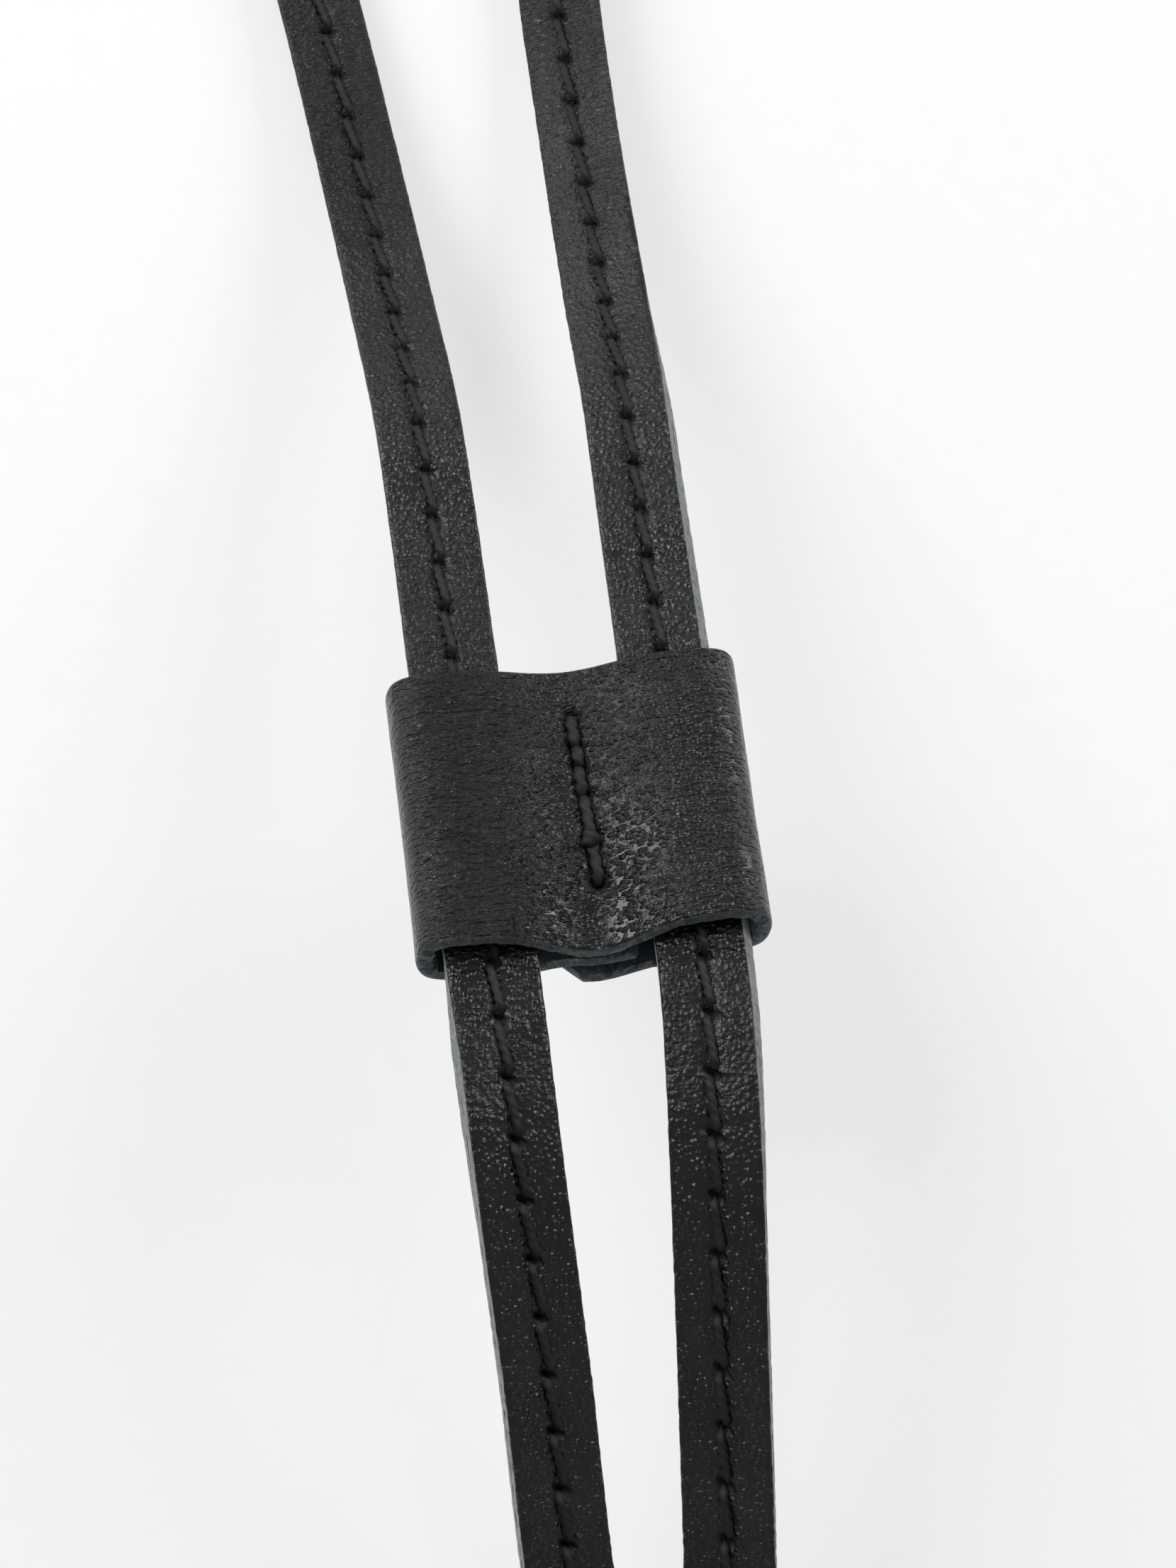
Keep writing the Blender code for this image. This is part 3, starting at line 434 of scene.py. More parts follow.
THREAD = thread_material("waxed_thread", (0.0030, 0.0026, 0.0025), (0.013, 0.0108, 0.0100))
NICKEL = metal_material("nickel_plate", (0.66, 0.64, 0.60), 0.14)
STEEL = metal_material("spring_steel", (0.42, 0.42, 0.43), 0.28)


# ---- camera, lights and floor -------------------------------------------------------
CAMERA_YAW = math.radians(14.46)      # the view direction leans from +Y towards +X
CAMERA_DOWN = math.radians(74.62)
CAMERA_ROLL = math.radians(8.36)
CAMERA_DISTANCE = 375.2
CAMERA_AIM = (1.38, 2.71, 33.0)
CAMERA_LENS, CAMERA_SENSOR = 79.87, 36.0
WORLD_LIGHT = 0.34
# Each softbox: its place from the slider in metres, its size and its power in watts.
SOFTBOXES = {"left": ((-0.50, 0.36, 0.50), (0.38, 0.54), 4.8),
             "right": ((0.58, 0.28, 0.40), (0.26, 0.44), 3.3),
             "back": ((-0.14, 0.84, 0.42), (0.50, 0.20), 1.1)}
LIT_HEIGHT = 20.0             # the softboxes aim at this height under the slider
FLOOR_REACH, FLOOR_Z = 6.0, -0.0002           # metres
FLOOR_GLOW = 0.58             # own light of the floor, which keeps its shadows pale


def build_camera():
    yaw, down, roll = CAMERA_YAW, CAMERA_DOWN, CAMERA_ROLL
    forward = Vector((math.sin(yaw) * math.cos(down), math.cos(yaw) * math.cos(down), -math.sin(down)))
    level = Vector((math.cos(yaw), -math.sin(yaw), 0.0))
    upward = level.cross(forward)
    right = level * math.cos(roll) + upward * math.sin(roll)
    up = upward * math.cos(roll) - level * math.sin(roll)
    data = bpy.data.cameras.new("camera")
    data.lens = CAMERA_LENS
    data.sensor_width = CAMERA_SENSOR
    data.clip_start = 0.01
    camera = bpy.data.objects.new("camera", data)
    bpy.context.scene.collection.objects.link(camera)
    turn = Matrix((right, up, -forward)).transposed().to_4x4()
    spot = Vector(place(CAMERA_AIM)) - forward * CAMERA_DISTANCE * MM
    camera.matrix_world = Matrix.Translation(spot) @ turn
    bpy.context.scene.camera = camera


def softbox(name, spot, aim, size, power):
    data = bpy.data.lights.new(name, "AREA")
    data.shape = "RECTANGLE"
    data.size, data.size_y = size
    data.energy = power
    lamp = bpy.data.objects.new(name, data)
    bpy.context.scene.collection.objects.link(lamp)
    lamp.location = spot
    direction = Vector(aim) - Vector(spot)
    lamp.rotation_mode = "QUATERNION"
    lamp.rotation_quaternion = direction.to_track_quat("-Z", "Y")


def build_studio():
    scene = bpy.context.scene
    scene.view_settings.view_transform = "Standard"
    world = bpy.data.worlds.new("studio")
    world.use_nodes = True
    sky = world.node_tree.nodes["Background"]
    sky.inputs["Color"].default_value = (1.0, 1.0, 1.0, 1.0)
    sky.inputs["Strength"].default_value = WORLD_LIGHT
    scene.world = world
    aim = Vector(place((0.0, 0.0, LIT_HEIGHT)))
    for side, (spot, size, power) in SOFTBOXES.items():
        softbox("softbox_" + side, aim + Vector(spot), aim, size, power)

    mesh = bpy.data.meshes.new("floor")
    corners = [(-1, -1), (1, -1), (1, 1), (-1, 1)]
    mesh.from_pydata([(x * FLOOR_REACH, y * FLOOR_REACH, FLOOR_Z) for x, y in corners],
                     [], [(0, 1, 2, 3)])
    floor = bpy.data.objects.new("floor", mesh)
    scene.collection.objects.link(floor)
    n = Nodes("floor_paper")
    paper = n.noise(n.add("TexCoord").outputs["Object"], 300.0, 3.0)
    n.surface(Base_Color=n.blend(paper, (0.31, 0.31, 0.312, 1.0), (0.33, 0.33, 0.332, 1.0)),
              Roughness=0.9, Emission_Color=(1.0, 1.0, 1.0, 1.0), Emission_Strength=FLOOR_GLOW)
    mesh.materials.append(n.material)


build_camera()
build_studio()


# ---- straps ------------------------------------------------------------------------
STATION = 0.5                 # spacing of the stations down a strap
SMOOTHING = 6                 # stations either way that set a strap's direction
LAYER_GAP = 0.03              # half the gap between a strap's two layers
LAYER_TOP = STRAP_HALF_DEPTH - LAYER_GAP      # a layer's grain side above its flesh side
RETURN_GAP = 0.06             # from the back layer to the front layer's return
TAIL_STATIONS = 33            # length of that return
LOOP_SWELL = [(-6.5, 0.0), (-4.4, 0.08), (-2.4, 0.42)]    # the loop's spread before the bar
BACK_END = 2.2                # the back layer ends this far before the bar
FIRST_HOLE, HOLES_END = 15.0, 28.0            # from the yoke's end and from the ring's
GROOVE_HALF = 0.85            # half width of the groove that the stitches lie in
SLIT_DEPTH, SLIT_HALF, SLIT_REACH = 1.0, 0.34, 1.05
PUCKER_AT, PUCKER_HEIGHT = 1.15, 0.22         # leather pushed up beside a hole
STRAP_SWAY = 0.44             # stitches run aslant by this much either way
DIVE_DEPTH = 1.0              # how deep a stitch goes into its hole
THREAD_RISE = 0.22            # thread's middle above the groove


class Ribbon:
    """The flesh side of a leather layer: its line, its width and its grain directions."""

    def __init__(self, line, across, face, run):
        self.line, self.across, self.face, self.run = line, across, face, run

    def at(self, run, across, height):
        """Layout points at distances along, across and above the ribbon."""
        shape = np.broadcast(run, across, height).shape
        run = np.broadcast_to(run, shape).ravel()
        across = np.broadcast_to(across, shape).ravel()[:, None]
        height = np.broadcast_to(height, shape).ravel()[:, None]
        base = along(self.line, self.run, run)
        side = unit(along(self.across, self.run, run))
        face = unit(along(self.face, self.run, run))
        return (base + side * across + face * height).reshape(*shape, 3)


def strap_path(route, outer):
    """Fine stations down a strap's middle: points, and across and face directions."""
    dense = catmull(route, 24)
    run = lengths(dense[:, :3])
    dense = along(dense, run, np.arange(0.0, run[-1], STATION))
    points = dense[:, :3]
    steps = np.arange(1, SMOOTHING + 1)[:, None]
    before = points[0] + (points[0] - points[1]) * steps[::-1]
    after = points[-1] + (points[-1] - points[-2]) * steps
    padded = np.vstack([before, points, after])
    down = unit(padded[2 * SMOOTHING:] - padded[:-2 * SMOOTHING])
    level = unit(np.cross([0.0, 0.0, 1.0], down))
    face = np.cross(down, level)
    turn = np.radians(dense[:, 3:4]) * outer
    across = level * np.cos(turn) + face * np.sin(turn)
    face = np.cross(down, across)
    face = face * np.sign(face[:, 2:3])
    return points, down, across, face


def front_ribbon(points, down, across, face):
    """The front layer's flesh side: down the strap, round the bar and back up behind it."""
    bar = points[-1] + down[-1] * BAR_LEAD - face[-1] * BAR_BELOW
    lead_top, lead_low = BAR_BELOW + LAYER_GAP, BAR_BELOW - STRAP_HALF_DEPTH - RETURN_GAP
    angles = np.radians(np.arange(80, -81, -10))
    loop = [(past, lead_top + swell) for past, swell in LOOP_SWELL]
    loop += [(LOOP_RADIUS * math.cos(a), LOOP_RADIUS * math.sin(a)) for a in angles]
    loop += [(past, lead_low - swell) for past, swell in reversed(LOOP_SWELL)]
    loop = catmull(loop, 6)
    slope = unit(np.gradient(loop, axis=0))
    outward = np.stack([-slope[:, 1], slope[:, 0]], 1)
    wrap = bar + down[-1] * loop[:, :1] + face[-1] * loop[:, 1:]
    wrap_face = down[-1] * outward[:, :1] + face[-1] * outward[:, 1:]
    back = slice(None, -TAIL_STATIONS - 1, -1)
    below = points - face * (STRAP_HALF_DEPTH + RETURN_GAP)
    line = np.vstack([points + face * LAYER_GAP, wrap, below[back]])
    sides = np.vstack([across, np.repeat(across[-1:], len(wrap), 0), across[back]])
    faces = np.vstack([face, wrap_face, -face[back]])
    return Ribbon(line, sides, faces, lengths(line))


def back_ribbon(points, down, across, face):
    """The back layer's flesh side, which stops short of the bar."""
    extra = np.arange(STATION, BAR_LEAD - BACK_END, STATION)[:, None]
    line = np.vstack([points, points[-1] + down[-1] * extra])
    sides = np.vstack([across, np.repeat(across[-1:], len(extra), 0)])
    faces = -np.vstack([face, np.repeat(face[-1:], len(extra), 0)])
    return Ribbon(line + faces * LAYER_GAP, sides, faces, lengths(line))


def stitch_stations(first, last, end):
    """Distances along a layer, close together at each stitch hole."""
    near = np.array([-1.1, -0.75, -0.5, -0.3, -0.1, 0.1, 0.3, 0.5, 0.75, 1.1, 1.7, 2.5, 3.3, 4.1, 4.7])
    holes = np.arange(first, last + 0.01, STRAP_PITCH)
    runs = np.concatenate([np.arange(0.0, first - 1.3, 1.0), (holes[:, None] + near).ravel()])
    runs = runs[runs < end]
    tail = np.arange(runs.max() + 0.35, end, 0.35)
    return np.unique(np.concatenate([runs, tail, [end]])), holes


def strap_section():
    """The outline of a leather layer: across and height, and whether it is grain."""
    half = STRAP_WIDTH / 2
    middle = np.arange(-1.25, 1.26, 0.25)
    grain = np.concatenate([[-4.45, -3.9, -3.1, -2.3, -1.7], middle, [1.7, 2.3, 3.1, 3.9, 4.45]])
    left = [(-half, 0.0), (-half, 0.35), (-half, 0.7), (-half, 1.05),
            (-half + 0.04, 1.27), (-half + 0.18, 1.41)]
    right = [(-x, h) for x, h in reversed(left)]
    flesh = [(3.0, 0.0), (0.0, 0.0), (-3.0, 0.0)]
    outline = np.array(left + [(x, LAYER_TOP) for x in grain] + right + flesh)
    kinds = np.array([0] * 4 + [1] * (len(grain) + 3) + [0] * (len(outline) - len(grain) - 7))
    return outline, kinds


def surface_relief(across, run, holes, groove, seed):
    """Height of the grain side: groove, slits, puckers beside them and soft waves."""
    nearest = holes[np.abs(run[..., None] - holes).argmin(-1)]
    past = run - nearest
    inside = (run > holes[0] - 1.5) & (run < holes[-1] + 1.5)
    a = past * math.cos(SLIT_TURN) - across * math.sin(SLIT_TURN)
    b = past * math.sin(SLIT_TURN) + across * math.cos(SLIT_TURN)
    wobble = noise_1d(run, 2.0, seed)
    relief = -groove * hump(across - 0.10 * wobble, GROOVE_HALF) * inside
    relief += -SLIT_DEPTH * hump(a, SLIT_HALF) * hump(b, SLIT_REACH) ** 1.5 * inside
    relief += -0.12 * hump(past, 1.6) * hump(across, 2.4) * inside
    strength = PUCKER_HEIGHT + 0.09 * noise_1d(run, STRAP_PITCH, seed + 1)
    relief += 1.25 * strength * hump(across - PUCKER_AT, 0.46) * hump(past - 0.05, 0.60) * inside
    relief += 0.5 * PUCKER_HEIGHT * hump(across + PUCKER_AT, 0.45) * hump(past + 0.2, 0.6) * inside
    relief += 0.035 * noise_2d(run, across, 5.0, 4.0, seed + 2)
    relief += 0.016 * noise_2d(run, across, 0.9, 4.5, seed + 3)
    return relief


def build_layer(name, ribbon, end, groove, lean, facing, seed, replaced):
    """One leather layer of a strap. Its outer cut side leans by a signed amount that
    depends on y, so that more of it shows from above."""
    last = FIRST_HOLE + STRAP_PITCH * math.floor(end / STRAP_PITCH)
    run, holes = stitch_stations(FIRST_HOLE, last, ribbon.run[-1])
    outline, kinds = strap_section()
    rows, columns = len(run), len(outline)
    runs = np.repeat(run[:, None], columns, 1)
    across = np.repeat(outline[None, :, 0], rows, 0)
    height = np.repeat(outline[None, :, 1], rows, 0)
    top = height > 1.2
    relief = surface_relief(across, runs, holes, groove, seed)
    rough = 0.05 * noise_2d(runs, height * 3 + np.sign(across), 0.7, 1.0, seed + 5)
    on_side = np.abs(across) > STRAP_WIDTH / 2 - 0.3
    tilt = np.interp(ribbon.at(run, 0.0, 0.0)[:, 1], *np.transpose(lean))[:, None]
    outside = on_side & (across * lean[-1][1] >= 0)
    reach = across + on_side * rough - outside * tilt * facing * height / STRAP_HALF_DEPTH
    verts = ribbon.at(runs, reach, height + np.where(top, relief, 0.0))
    slots = np.tile(np.where(kinds == 1, 0, 1), rows - 1).tolist() + [1, 1]
    # The third coordinate is the grain side's relief; the leather paints shade where it is sunk.
    coordinates = np.stack([across, runs, np.where(top, relief, 0.0)], -1).reshape(-1, 3)
    crease = np.interp(runs, CREASED_RUN, CREASE_SHARE) + 0.25 * noise_1d(runs, 9.0, seed + 6)
    made = make_object(name, place(verts.reshape(-1, 3)), closed_faces(rows, columns),
                       [STRAP_LEATHER, STRAP_CUT], slots, coordinates, crease=crease)
    stand_for(made, "strap", replaced)
    return holes


def thread_piece(name, strands, body, node):
    """A row of stitches from its strands, in place of a thread of the CAD."""
    verts, faces, coordinates = strands
    coordinates[:, 1] = coordinates[:, 1] / MM
    made = make_object(name, verts, faces, [THREAD], coordinates=coordinates, sharp=80.0)
    stand_for(made, body, node)


def stitch_lines(ribbon, holes, groove, mirror, seed):
    """Centre lines of the stitches between neighbouring holes."""
    share = np.linspace(0.0, 1.0, 17)
    lines = []
    surface = LAYER_TOP - groove
    for number, start in enumerate(holes[:-1]):
        dive = np.clip(np.minimum(share, 1.0 - share) / 0.19, 0.0, 1.0)
        lift = surface + THREAD_RISE - DIVE_DEPTH * (1.0 - ease(dive))
        lift = lift + 0.05 * math.sin(number * 1.7 + seed)
        sway = mirror * (-STRAP_SWAY * (1.0 - 2.0 * share)) + 0.06 * math.sin(number * 2.3 + seed)
        run = start + STRAP_PITCH * share
        lines.append(place(ribbon.at(run, sway, lift)))
    return lines


def build_strap(side, route, outer, lean, grooves, seed):
    path = strap_path(route, outer)
    reach = lengths(path[0])[-1]
    ribbons = {"front": front_ribbon(*path), "back": back_ribbon(*path)}
    for number, (face, ribbon) in enumerate(ribbons.items()):
        mirror = 1.0 if face == "front" else -1.0
        holes = build_layer(f"{side}_strap_{face}_leather", ribbon, reach - HOLES_END,
                            grooves[number], lean, mirror, seed + 10 * number, f"{side}_strap_{face}")
        lines = stitch_lines(ribbon, holes, grooves[number], mirror, seed)
        strands = tubes(lines, STRAP_THREAD * MM, twist=2.4 * MM, taper=0.9 * MM)
        thread_piece(f"{side}_{face}_stitching", strands, "strap", f"{side}_{face}_thread")


# How far the outer cut sides lean, as y and signed millimetres.
LEFT_LEAN = [(-110, 0.0), (-85, 0.3), (-45, 0.3), (-26, -0.2), (-15, 0.1), (195, 0.15), (200, -0.001)]
RIGHT_LEAN = [(-110, 0.0), (-85, -0.3), (-45, -0.2), (-20, 0.5), (20, 0.6), (48, 0.4), (66, -0.35),
              (115, -0.8), (150, -0.3), (200, 0.001)]
build_strap("left", LEFT_ROUTE, -1, LEFT_LEAN, (0.16, 0.14), 3)
build_strap("right", RIGHT_ROUTE, 1, RIGHT_LEAN, (0.20, 0.14), 5)


# ---- slider -------------------------------------------------------------------------
SLIDER_COLUMNS = 420
FOLD_X, CREASED_X = 14.5, -11.5       # the folds, and the middle of the creased third
SIDE_SPREAD = 0.014           # the upper end is wider by this share
TOP_SHRINK = 0.968            # and the band shorter above its middle
SEAM_DIP, END_BOW = 1.7, 0.9
FLAP_DROP, CORNER_CUT = 0.9, 2.6      # the inner end sags and has its corner cut off
FAR = 1000.0                  # keeps the other face of the band out of a search


def slider_matrix():
    return (Matrix.Translation(Vector(place(SLIDER_CENTRE)))
            @ Matrix.Rotation(-SLIDER_TILT, 4, "X") @ Matrix.Scale(MM, 4))


def slider_warp(x, y, z):
    """The band's give: it dips along the seam towards its lower end and its ends bow."""
    half = SLIDER_LENGTH / 2
    x = x * (1.0 + SIDE_SPREAD * np.clip(y / half, -0.2, 1.0))
    y = np.where(y > 0.0, y * TOP_SHRINK, y)
    lower = np.clip((4.0 - y) / 20.0, 0.0, 1.0) ** 1.6
    dip = SEAM_DIP * lower * hump(x - 0.3, 6.0)
    bow = END_BOW * hump(x, 7.0) * np.clip(-y / half, 0.0, 1.0) ** 3
    return x, y - bow, z - dip


def build_slider():
    """The leather band: a thick strip folded round both straps."""
    path = catmull(SLIDER_SECTION, 12)
    run_in = lengths(path)
    columns = SLIDER_COLUMNS
    run = np.linspace(0.0, run_in[-1], columns)
    line = along(path, run_in, run)
    slope = unit(np.gradient(line, axis=0))
    out = np.stack([-slope[:, 1], slope[:, 0]], 1)
    half, thick = SLIDER_LENGTH / 2, SLIDER_LEATHER / 2

    inner = np.linspace(-half + 0.6, half - 0.6, 62)
    # Rows round the strip: grain side up, over the end, flesh side down and back.
    turn = [(0.02, thick - 0.32), (0.10, thick - 0.14), (0.32, thick - 0.02)]
    rows = [(-half + d, h) for d, h in turn] + [(y, thick) for y in inner]
    rows += [(half - d, h) for d, h in reversed(turn)]
    rows += [(half, 0.2), (half, -0.35), (half - 0.12, -thick + 0.02)]
    rows += [(y, -thick) for y in inner[::-2]]
    rows += [(-half + 0.12, -thick + 0.02), (-half, -0.35), (-half, 0.2)]
    rows = np.array(rows)
    count = len(rows)
    y = np.repeat(rows[:, :1], columns, 1)
    height = np.repeat(rows[:, 1:], columns, 1)
    runs = np.repeat(run[None, :], count, 0)
    grain_side = height > thick - 0.35
    seam_front = run[np.abs(line[:, 0] + FAR * (line[:, 1] < 1.0)).argmin()]
    seam_back = run[np.abs(line[:, 0] + FAR * (line[:, 1] > -2.0)).argmin()]
    relief = 0.04 * noise_2d(runs, y, 4.0, 3.0, 21)
    on_fold = hump(np.abs(line[:, 0]) - FOLD_X, 3.5)[None, :]
    relief = relief + on_fold * 0.03 * noise_2d(runs, y, 2.6, 0.7, 22)
    relief = relief + seam_relief(runs - seam_front - seam_x(y), y)
    relief = relief + seam_relief(runs - seam_back + seam_x(y), y)
    inner_rim = (np.abs(y) > half - 0.2) & (height < -0.5)
    ragged = 0.16 * noise_2d(runs, y, 0.6, 50.0, 26) + 0.12 * noise_2d(runs, y, 0.3, 50.0, 27)
    reach = height + np.where(grain_side, relief, 0.0) + inner_rim * ragged
    frayed = (np.abs(y) > half - 0.05) & ~grain_side
    fray = 0.22 * noise_2d(runs, height, 0.8, 0.5, 23) + 0.16 * noise_2d(runs, height, 0.32, 0.3, 24)
    y_out = y + np.sign(y) * frayed * fray
    x = line[None, :, 0] + out[None, :, 0] * reach
    z = line[None, :, 1] + out[None, :, 1] * reach
    x, y_out, z = slider_warp(x, y_out, z)
    low_end = np.clip((-y - 6.0) / 10.5, 0.0, 1.0)
    flap = np.clip((runs - run_in[-1] + 14.0) / 9.0, 0.0, 1.0) * low_end
    corner = np.clip((runs - run_in[-1] + 3.2) / 3.2, 0.0, 1.0) * low_end
    y_out = y_out - FLAP_DROP * flap + CORNER_CUT * corner
    verts = np.stack([x, y_out, z], -1).transpose(1, 0, 2).reshape(-1, 3)
    is_grain = (rows[:, 1] > thick - 0.2) & (np.roll(rows[:, 1], -1) > thick - 0.2)
    slots = np.tile(np.where(is_grain, 0, 1), columns - 1).tolist() + [1, 1]
    # The third coordinate is the relief; the leather paints shade in the seam's sunk holes.
    sunk_shade = np.where(grain_side, relief, 0.0)
    coordinates = np.stack([runs, y, sunk_shade], -1).transpose(1, 0, 2).reshape(-1, 3)
    on_left = hump(line[:, 0] - CREASED_X, 5.0) * (line[:, 1] > 1.0)
    crease = 0.10 + 0.75 * on_left[None, :] + 0.12 * noise_2d(runs, y, 5.0, 5.0, 25)
    matrix = slider_matrix()
    verts = [matrix @ Vector(v) for v in verts]
    band = make_object("slider_band_leather", verts, closed_faces(columns, count),
                       [SLIDER_SKIN, SLIDER_CUT], slots, coordinates, sharp=60.0, crease=crease.T)
    stand_for(band, "slider", "slider_band")


SEAM_HOLES = np.array([10.8, 6.8, 4.2, 0.6, -4.6, -9.6])
SEAM_THREAD = 0.60
SEAM_CHANNEL, HOLE_DEPTH = 0.62, 0.95
SEAM_SUNK = 0.32              # thread's middle below the leather's face
KNOT_HOLE, KNOT_ROWS, KNOT_SWELL = 4, 9, 1.7
SEAM_SIDES = 10


def seam_x(y):
    """The seam was sewn a little askew."""
    return 0.85 - 0.035 * y


def seam_relief(across, y):
    """The sewn line of the slider: a shallow channel with a punched hole at each stitch."""
    fade = 0.9
    inside = (np.clip((SEAM_TOP + fade - y) / fade, 0.0, 1.0)
              * np.clip((y - SEAM_BOTTOM + fade) / fade, 0.0, 1.0))
    relief = -SEAM_CHANNEL * hump(across, 0.88) ** 1.4 * inside - 0.20 * hump(across, 2.4) * inside
    for hole in SEAM_HOLES:
        relief = relief - HOLE_DEPTH * hump(across, 1.05) ** 1.5 * hump(y - hole, 0.62)
        relief = relief + 0.14 * hump(across - 1.5, 0.5) * hump(y - hole, 0.8)
    return relief


def build_slider_seam(face, height, knot):
    """Saddle stitches sunk in the slider's seam, with the tied-off end as a bead."""
    share = np.linspace(0.0, 1.0, 15)
    sign = 1.0 if face == "front" else -1.0
    matrix = slider_matrix()
    lines = []
    for number, (start, end) in enumerate(zip(SEAM_HOLES, SEAM_HOLES[1:])):
        dive = np.clip(np.minimum(share, 1.0 - share) * (start - end) / 0.95, 0.0, 1.0)
        lift = height + sign * (-SEAM_SUNK - DIVE_DEPTH * (1 - ease(dive)))
        y = start + (end - start) * share
        x = seam_x(y) + 0.10 * math.sin(number * 2.1) + 0.14 * (share - 0.5)
        x, y, z = slider_warp(x, y, lift)
        lines.append([matrix @ Vector(p) for p in zip(x, y, z)])
    if knot:
        y = SEAM_HOLES[KNOT_HOLE] - 0.3 + np.linspace(1.20, -1.05, KNOT_ROWS)
        x, y, z = slider_warp(seam_x(y) - 0.1, y, 0 * y + height + sign * 0.12)
        lines.append([matrix @ Vector(p) for p in zip(x, y, z)])
    strands = tubes(lines, SEAM_THREAD * MM, SEAM_SIDES, twist=3.2 * MM, taper=0.5 * MM)
    if knot:
        verts = strands[0]
        bead = verts[-SEAM_SIDES * KNOT_ROWS:].reshape(KNOT_ROWS, SEAM_SIDES, 3)
        middle = bead.mean(1, keepdims=True)
        swell = np.sqrt(np.clip(1 - np.linspace(-1, 1, KNOT_ROWS) ** 2, 0.02, 1)) * KNOT_SWELL
        bead = middle + (bead - middle) * swell[:, None, None]
        verts[-SEAM_SIDES * KNOT_ROWS:] = bead.reshape(-1, 3)
    thread_piece(f"slider_{face}_stitching", strands, "slider", f"slider_{face}_thread")


build_slider()
build_slider_seam("front", SEAM_FRONT + SLIDER_LEATHER / 2, True)
build_slider_seam("back", SEAM_BACK - SLIDER_LEATHER / 2, False)


# ---- yoke ---------------------------------------------------------------------------
YOKE_PITCH = 3.6
YOKE_THREAD = 0.36
STITCH_INSET = 1.3            # from the rim to the stitching
SHOULDER_SLOPE, SHOULDER_OFFSET = 2.6, 1.8    # width of the cover's shoulder, from its crown
RIM_BAND = 0.165              # share of the half width with close columns along each rim
FULL_CROWN = 6.0
STITCH_GROOVE, GATHER, SWELL = 0.34, 0.22, 0.28
EDGE_ROUNDING = 0.22
COVER_LIFT = 0.12             # cover's grain side above two thicknesses of leather


def yoke_stations(step):
    half = np.column_stack([np.array(YOKE_HALF_ROUTE), YOKE_HALF_WIDTHS, YOKE_CROWNS])
    left = half * np.array([-1.0, 1.0, 1.0, 1.0])
    route = catmull(np.vstack([left, half[-2::-1]]), 24)
    run = lengths(route[:, :2])
    wanted = np.linspace(0.0, run[-1], int(run[-1] / step) + 1)
    spots = along(route, run, wanted)
    heading = unit(np.gradient(spots[:, :2], axis=0))
    outward = np.stack([-heading[:, 1], heading[:, 0]], 1)
    return spots, outward, wanted


def yoke_points(spots, outward, reach, height):
    """Layout points across the yoke at each station."""
    x = YOKE_X + spots[:, :1] + outward[:, :1] * reach
    y = spots[:, 1:2] + outward[:, 1:] * reach
    return np.stack([x, y, np.broadcast_to(height, x.shape)], -1)


def crown_height(reach, width, crown):
    inside = np.clip(width - RIM - np.abs(reach), 0.0, None)
    shoulder = np.minimum(width - RIM, SHOULDER_SLOPE * crown - SHOULDER_OFFSET)
    return crown * np.sin(np.pi / 2 * np.minimum(1.0, inside / shoulder))


def build_yoke():
    spots, outward, run = yoke_stations(0.9)
    width, crown = spots[:, 2:3], spots[:, 3:4]
    rim = np.concatenate([[0.0, 0.005, 0.015], RIM_BAND * np.linspace(0.12, 1.0, 7)])
    share = np.concatenate([rim - 1.0, np.linspace(-0.80, 0.80, 23), 1.0 - rim[::-1]])[None, :]
    reach = share * width
    runs = np.repeat(run[:, None], share.shape[1], 1)
    height = crown_height(reach, width, crown)
    edge = width - np.abs(reach)
    beat = 0.5 + 0.5 * np.cos(2 * np.pi * runs / YOKE_PITCH)
    pad = np.clip(crown / FULL_CROWN, 0.0, 1.0)
    relief = -STITCH_GROOVE * hump(edge - STITCH_INSET, 0.75) * (0.35 + 0.65 * beat)
    relief = relief + pad * GATHER * hump(edge - 4.4, 2.0) * np.cos(2 * np.pi * runs / YOKE_PITCH + 2.6)
    relief = relief + pad * SWELL * noise_2d(runs, reach, 16.0, 9.0, 31)
    relief = relief + pad * 0.10 * noise_2d(runs, reach, 3.4, 8.0, 32) * hump(edge - 6.0, 5.0)
    rounding = EDGE_ROUNDING * hump(edge, 0.12)
    top = 2 * YOKE_LEATHER + COVER_LIFT + height + relief - rounding
    low = np.maximum(YOKE_LEATHER + 0.06 + height * 0.97, YOKE_LEATHER + 0.06)
    upper = yoke_points(spots, outward, reach, top)
    lower = yoke_points(spots, outward, reach[:, ::-1] * 0.999, low[:, ::-1])
    rows, columns = reach.shape
    verts = np.concatenate([upper, lower], 1)
    count = 2 * columns
    kinds = [0] * (columns - 1) + [1] * (count - columns + 1)
    slots = kinds * (rows - 1) + [1, 1]
    # The third coordinate is the relief; the leather paints shade in the sunk stitch groove.
    coordinates = np.stack([np.concatenate([reach, reach[:, ::-1]], 1),
                            np.concatenate([runs, runs], 1),
                            np.concatenate([relief, 0 * relief], 1)], -1).reshape(-1, 3)
    crease = np.full(len(coordinates), 0.35)
    cover = make_object("yoke_cover_leather", place(verts.reshape(-1, 3)), closed_faces(rows, count),
                        [YOKE_SKIN, STRAP_CUT], slots, coordinates, crease=crease)
    stand_for(cover, "strap", "yoke_cover")
    build_lining(spots, outward, run)
    build_padding()
    build_yoke_stitches()


